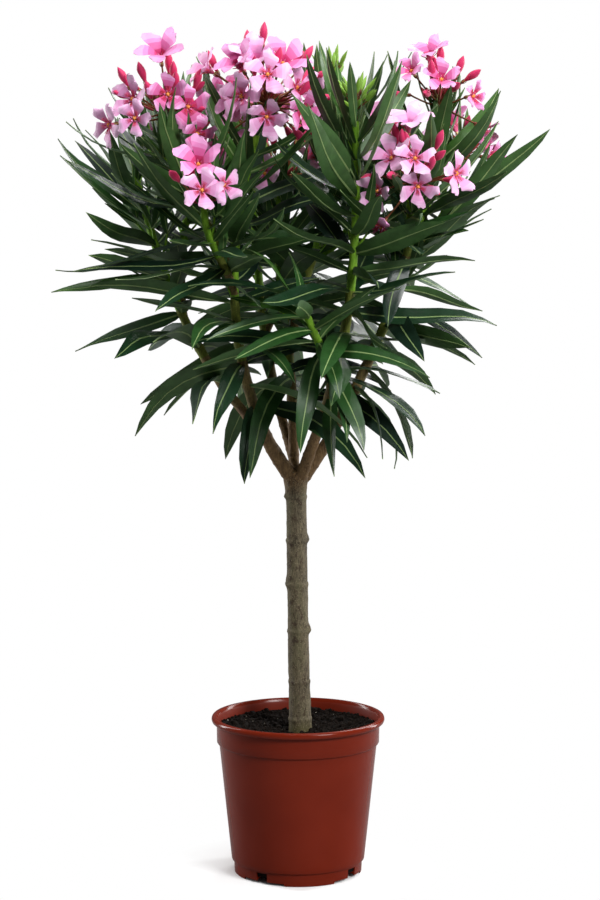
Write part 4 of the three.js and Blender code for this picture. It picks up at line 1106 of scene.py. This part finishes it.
def leaf_pieces():
    """All leaves, one piece for each tint, with pale undersides, their midribs and the axil twigs."""
    leaves, twigs = kept_leaves(), []
    for index, name in enumerate(SHOOTS):
        small, stems = axil_leaves(index, name)
        leaves += tip_leaves(index, name) + small
        twigs += stems
    leaves = rows(leaves)
    leaves = picked(leaves, ~under_sky(leaves))
    leaves["width"] = leaves["width"] * LEAF["slim"]
    tint = tint_of(leaves)
    for look in ("leaf_fresh", "leaf_mid", "leaf_green", "leaf_deep", "leaf_dark"):
        blades = [skins(blade_rings(picked(leaves, tint == look)))]
        make(look, blades, [look, "leaf_under"], MASSES, shade=underside, crease=60)
    make("leaf_ribs", [skins(rib_rings(leaves))], ["leaf_rib"], MASSES, crease=80)
    make("axil_twigs", [skins(np.stack(twigs))], ["shoot_green"], MASSES)


# ---------------------------------------------------------------- flower heads
def ray_way(axis, spread, turn, front):
    """A ray's direction: spread off the axis and turned round it, in degrees, then drawn forwards."""
    return unit(tilted(axis, math.radians(spread), math.radians(turn)) - np.array([0, front, 0]))


def solid_rows(name, axis, middle):
    """A head's flowers and buds that its solid has: of a ray's stretches, the first whose throat or
    bud tip is a point of the solid. A flower's turn is read from its five outer corners."""
    _, _, wanted, extra, ray, opens, front, first, deal = HEADS[name]
    points, total = corners(name)[0], wanted + extra
    flowers, buds = [], []
    for i in range(total):
        is_flower = (i + 1) * wanted // total > i * wanted // total
        key = 5000 + deal * 100 + i
        spread = opens * math.sqrt((i + 0.5) / total) + 7 * wobble(key, 1)
        way = ray_way(axis, spread, first + GOLDEN_TURN * i + 12 * wobble(key, 2), front)
        facing = unit(way + UP * 0.15 * wobble(key, 4))
        length = ray * (1 if is_flower else RAY["bud"]) * (1 + RAY["vary"] * wobble(key, 3))
        ends = [middle + way * (RAY["hub"] + stretch * length) for stretch in RAY["stretches"]]
        mark = facing * (SOLID["throat"] if is_flower else SOLID["bud_tip"])
        ends = [end for end in ends if np.linalg.norm(points - end - mark, axis=1).min() < NEAR["head"]]
        if not ends:
            continue
        row = {"end": ends[0], "facing": facing, "way": way, "middle": middle, "axis": axis, "key": key}
        if not is_flower:
            buds.append({**row, "green": name in BUD_NODES})
            continue
        u, v = across(facing)
        off = points - ends[0]
        out = np.abs(np.hypot(off @ u, off @ v) - SOLID["corner_out"]) < NEAR["corner"]
        rim = off[out & (np.abs(off @ facing - SOLID["corner_up"]) < NEAR["corner"])]
        fifth = np.angle(np.exp(5j * np.arctan2(rim @ v, rim @ u)).sum()) / 5
        row["turn"] = fifth + math.radians(SOLID["corner_turn"]) if len(rim) else 0.0
        row["size"] = FRESH_SIZE if name in FRESH_HEADS else 1.0
        flowers.append(row)
    return flowers, buds


def filled_rows(index, name, axis, middle):
    """More flowers between those of a head's solid, nearer the stalk, and buds between those."""
    _, _, wanted, _, ray, opens, front, first, _ = HEADS[name]
    flowers, buds = [], []
    for i in range(round(FILL["share"] * wanted)):
        for kind, (reach, shift) in enumerate(((FILL["flower_reach"], 0.5), (FILL["bud_reach"], 0.25))):
            if kind == 0 and (wanted < FILL["from"] or i % 2):
                continue
            key = 9000 + index * 100 + i * 2 + kind
            share = (i + shift + 0.4) / (FILL["share"] * wanted + 0.6)
            spread = (0.92 - 0.25 * kind) * opens * math.sqrt(share)
            turn = first + GOLDEN_TURN * (i * 1.618 + shift) + 20 * wobble(key, 2)
            way = ray_way(axis, spread, turn, front)
            row = {"way": way, "middle": middle, "axis": axis, "key": key}
            row["end"] = middle + way * (RAY["hub"] + reach * ray * (1 + 0.2 * wobble(key, 3)))
            if kind:
                buds.append({**row, "facing": unit(way + axis), "green": False})
            else:
                facing = unit(way + UP * 0.25 * chance(key, 4))
                flowers.append({**row, "facing": facing, "turn": TURN * chance(key, 5), "size": 1.0})
    return flowers, buds


def petal_rings(flower, number):
    """A petal. Along it v and across it u: distance out rho = 2.8 + 23.5 v, half width w(v) widest at
    0.85, the margin longer on one side as on a pinwheel. The height climbs out of the throat, flattens
    and curls up or back. A flower that faces up is a trumpet: there rho grows as v to a power, so the
    petals stay close at first and flare at the top, and it is larger."""
    v = column(PETAL_STATIONS)
    u = np.array([1, 0.5, 0, -0.5, -1, -0.5, 0, 0.5])
    is_under = np.array([0, 0, 0, 0, 0, 1, 1, 1])
    facing, head_key = flower["facing"][:, None, None], flower["key"][:, None, None]
    key = head_key * 5 + number
    upward = np.clip((facing[..., 2] - 0.3) / 0.5, 0, 1)
    closed = upward * (0.6 + 0.4 * chance(head_key, 20))
    size = flower["size"][:, None, None] * (0.8 + 0.2 * chance(head_key, 28)) * (1 + 0.28 * upward)
    cup = 0.35 + 0.8 * wobble(head_key, 21)
    bend = wobble(key, 22)
    out = 2.8 + (23.5 - 3.5 * closed) * v ** (1 + 1.3 * closed) - 2.0 * u ** 2 * v ** 3 + 2.8 * u * v ** 3
    out = out + 1.3 * np.sin(5 * u + 9 * bend) * v ** 6
    side = u * np.interp(v, *PETAL_HALF) * (1 - 0.45 * closed * (1 - v) ** 0.7) + 2.6 * v ** 2
    high = 12.6 + (8.5 + 16 * closed) * v ** 0.8 + 6.0 * cup * v ** 1.3 - (4.5 - 2.5 * cup) * v ** 4
    high = high + 1.1 * u * v + (1.0 - 2.0 * u ** 2) * v * (0.7 + 0.4 * bend)
    high = high - closed * 3.0 * (1 - u ** 2) * v * (1 - 0.6 * v) - 0.5 * is_under
    high = high + 3.4 * bend * v ** 2 + 1.6 * np.sin(5 * v + 4 * u + 3 * bend) * v ** 3
    high = high + 3.5 * np.clip(bend - 0.3, 0, 1) * u * v ** 2
    radial = around(facing, flower["turn"][:, None, None] + TURN * number / 5 + 0.05 * wobble(key, 23))
    spread = radial * column(out) + np.cross(facing, radial) * column(side)
    return flower["end"][:, None, None] + facing * column(high) + spread * column(size)


def petal_tone(along, round_it):
    """A petal is palest at its tip and deepens in steps to its claw. Outside it is a tone deeper along
    its middle."""
    return np.array([3, 3, 3, 2, 2, 1, 0, 0])[along] + np.array([0, 0, 0, 0, 0, 1, 1, 0])[round_it]


def lathe(flower, profile, sides, lobes=0.0, twist=0.0):
    """A profile of (radius, height) turned round each flower's facing, with five lobes that may twist."""
    radius, height = np.array(profile, float).T[:, None, :, None]
    a = np.linspace(0, TURN, sides, endpoint=False)
    wide = radius * (1 + lobes * np.cos(5 * (a - twist * height)))
    facing = flower["facing"][:, None, None]
    out = around(facing, a + flower["turn"][:, None, None])
    return flower["end"][:, None, None] + facing * column(height) + out * column(wide)


def leaflets(flower, blade, offset=0.0):
    """Five small pointed blades round each flower: points out along a radius and up the facing, each
    half a width to both sides, with a thin back and front."""
    out, high, half = (np.array(x)[:, None] for x in BLADES[blade])
    facing, parts = flower["facing"][:, None], []
    for n in range(5):
        radial = around(facing, (flower["turn"] + offset + TURN * n / 5)[:, None])
        side = np.cross(facing, radial)
        spot = flower["end"][:, None] + facing * high + radial * out
        lift = 0.35 * np.cross(side, unit(np.gradient(spot, axis=1)))
        rings = np.stack([spot + side * half, spot + lift, spot - side * half, spot - lift], 2)
        parts.append(skins(rings[:, :, ::-1]))
    return parts


def turned_piece(name, flower, part, look, sides, nodes=FLOWER_NODES, crease=50, **lobes):
    """One mesh of a turned part at every flower or bud given."""
    make(name, [skins(lathe(flower, TURNED[part], sides, **lobes))], [look], nodes, crease=crease)


def petal_pieces(flowers):
    """Petals, one piece for open flowers and one for fresh ones, which are two tones deeper. Small
    flowers and those that face up are more often fresh."""
    facing_up = flowers["facing"][:, 2] > 0.6
    share = np.where(flowers["size"] < 1, 0.9, 0.3) + 0.4 * facing_up
    fresh = chance(flowers["key"], 24) < share
    for name, chosen, step in (("open_petals", ~fresh, 0), ("fresh_petals", fresh, 2)):
        petals = [skins(petal_rings(picked(flowers, chosen), number)) for number in range(5)]
        looks = ["petal_" + tone for tone in PETAL_TONES[step:step + 5]]
        make(name, petals, looks, FLOWER_NODES, shade=petal_tone, crease=65)


def young_bud_rows(stalks):
    """Tiny buds on short rays round the middle of each head."""
    items = []
    for number, (_, middle, axis, name) in enumerate(stalks):
        for n in range(YOUNG_BUDS):
            key = 60000 + number * 100 + n
            turn = math.radians(GOLDEN_TURN * n + 30 * wobble(key, 2))
            way = tilted(axis, math.radians(12 + 68 * chance(key, 1)), turn)
            start = middle - axis * 6 * chance(key, 3)
            items.append({
                "start": start, "end": start + way * (5 + 15 * chance(key, 4)),
                "facing": unit(way + 0.35 * axis), "turn": TURN * chance(key, 5),
                "size": 0.7 + 0.9 * chance(key, 6), "green": name in BUD_NODES,
            })
    return rows(items)


def stalk_pieces(joined, stalks):
    """Stalks, rays and young buds. Each ray leaves the stalk a little below the head's middle and
    bows outwards."""
    s, t = np.linspace(0, 1, 7), np.linspace(-0.06, 1, 9)
    start = joined["middle"] - joined["axis"] * column(9 * chance(joined["key"], 26))
    knee = (start + joined["end"]) / 2 + joined["way"] * 2 - UP * column(1 + 2.5 * chance(joined["key"], 27))
    path = np.stack([bezier(points, s) for points in zip(start, knee, joined["end"])])
    thick = np.broadcast_to(1.05 + 0.5 * np.exp(-s * 5), path.shape[:2])
    parts = [skins(round_rings(path, thick, 7))]
    for foot, middle, _, _ in stalks:
        stem = foot + (middle - foot) * column(t)
        parts.append(skins(round_rings(stem, 2.9 - 0.9 * np.clip(t, 0, 1), 9)))
    young = young_bud_rows(stalks)
    path = young["start"][:, None] + (young["end"] - young["start"])[:, None] * column(np.linspace(0, 1, 3))
    parts.append(skins(round_rings(path, np.full(path.shape[:2], 0.75), 5)))
    make("flower_stalks", parts, ["flower_stalk"], [*HEADS])
    end, size = young["end"][:, None, None], young["size"][:, None, None, None]
    rings = end + (lathe(young, TURNED["young_bud"], 7, lobes=0.08) - end) * size
    make("young_buds", [skins(rings[~young["green"]])], ["bud_young"], [*HEADS])
    make("small_green_buds", [skins(rings[young["green"]])], ["bud_green"], BUD_NODES)


def flower_pieces():
    """Flowers and buds, part by part, their calyces and their stalks."""
    flowers, buds, stalks = [], [], []
    for index, (name, (shoot, stalk, *_)) in enumerate(HEADS.items()):
        axis = heading_of(CURVES[shoot], 1.0)
        foot = CURVES[shoot][-1] + BEYOND_TIP * axis
        middle = foot + axis * stalk
        stalks.append((foot, middle, axis, name))
        for grown in (solid_rows(name, axis, middle), filled_rows(index, name, axis, middle)):
            flowers += grown[0]
            buds += grown[1]
    flowers, buds = rows(flowers), rows(buds)
    buds["turn"] = TURN * chance(buds["key"], 25)
    red, green = picked(buds, ~buds["green"]), picked(buds, buds["green"])

    petal_pieces(flowers)
    turned_piece("flower_tubes", flowers, "tube", "flower_tube", 10, lobes=0.06)
    turned_piece("tube_feet", flowers, "foot", "tube_foot", 8)
    turned_piece("flower_hearts", flowers, "heart", "flower_heart", 10, crease=70, lobes=0.28)
    stripes = [part for offset in (-0.2, 0.0, 0.2) for part in leaflets(flowers, "stripe", offset)]
    make("heart_stripes", stripes, ["heart_stripe"], FLOWER_NODES)
    make("throat_fringe", leaflets(flowers, "fringe", 0.3), ["petal_rose"], FLOWER_NODES)
    turned_piece("flower_buds", red, "bud", "bud_crimson", 10, lobes=0.07, twist=0.05)
    turned_piece("bud_feet", red, "bud_foot", "tube_foot", 8)
    turned_piece("green_buds", green, "green_bud", "bud_green", 8, nodes=BUD_NODES, lobes=0.07, twist=0.05)
    shared = ("end", "facing", "way", "middle", "axis", "key", "turn")
    joined = {k: np.concatenate([flowers[k], red[k], green[k]]) for k in shared}
    make("calyces", leaflets(joined, "sepal"), ["calyx"], FLOWER_NODES)
    stalk_pieces(joined, stalks)


# ---------------------------------------------------------------- studio
def camera_ray():
    """1 for what the camera itself sees, 0 for light that bounces."""
    return Flow(Flow.node("ShaderNodeLightPath").outputs["Is Camera Ray"])


def studio_camera():
    """Camera level with the crown and turned slightly down."""
    camera = added("camera", bpy.data.cameras.new("camera"))
    camera.location = CAMERA["place"]
    camera.rotation_euler = (math.radians(CAMERA["tilt"]), 0, 0)
    camera.data.sensor_fit = "AUTO"
    camera.data.sensor_width = CAMERA["sensor"]
    camera.data.lens = CAMERA["lens"]
    bpy.context.scene.camera = camera


def studio_floor():
    """A wide round floor: lit white paper near the pot, which fades into the same white as the
    backdrop. The plant itself is lit by a darker floor, so that the pot's foot isn't washed out."""
    mesh = bpy.data.meshes.new("floor")
    a = np.linspace(0, TURN, 96, endpoint=False)
    edge = np.stack([FLOOR["radius"] * np.cos(a), FLOOR["radius"] * np.sin(a), 0 * a], -1)
    mesh.from_pydata(edge.tolist(), [], [list(range(len(a)))])

    def look():
        return {"Base Color": blend(FLOOR["as_light"], FLOOR["as_seen"], camera_ray())}

    paper = finish("studio_floor", look, Roughness=0.9, Specular_IOR_Level=0.1)
    away = Flow(Flow.node("ShaderNodeVectorMath", {"operation": "LENGTH"}, i0=place()).outputs["Value"])
    glowing = away.step(FLOOR["white_from"], FLOOR["white_to"]) * camera_ray()
    glow = Flow.node("ShaderNodeEmission", Color=(1, 1, 1, 1), Strength=1.0)
    mixed = Flow.node("ShaderNodeMixShader", i0=glowing)
    nodes, link = paper.node_tree.nodes, paper.node_tree.links.new
    link(nodes["Principled BSDF"].outputs[0], mixed.inputs[1])
    link(glow.outputs[0], mixed.inputs[2])
    link(mixed.outputs[0], nodes["Material Output"].inputs["Surface"])
    mesh.materials.append(paper)
    added("floor", mesh)


def studio_light():
    """A backdrop that is white to the camera and faint as a light, and soft lamps on the left and
    right, above, in front and behind."""
    world = bpy.data.worlds.new("studio")
    world.use_nodes = True
    Flow.tree = world.node_tree
    backdrop = world.node_tree.nodes["Background"].inputs
    backdrop["Color"].default_value = (1, 1, 1, 1)
    strength = camera_ray() * (1 - AMBIENT) + AMBIENT
    world.node_tree.links.new(strength.socket, backdrop["Strength"])
    bpy.context.scene.world = world
    for name, (spot, target, size, power) in LAMPS.items():
        lamp = bpy.data.lights.new(name, "AREA")
        lamp.shape, lamp.size, lamp.size_y, lamp.energy = "RECTANGLE", *size, power
        way = np.array(target) - np.array(spot)
        yaw = math.atan2(way[1], way[0]) - math.pi / 2
        holder = added(name, lamp)
        holder.location = spot
        holder.rotation_euler = (math.acos(-way[2] / np.linalg.norm(way)), 0, yaw)
    bpy.context.scene.view_settings.view_transform = "Standard"


studio_camera()
studio_floor()
studio_light()
pot_piece()
compost_pieces()
trunk_piece()
bough_pieces()
shoot_pieces()
leaf_pieces()
flower_pieces()
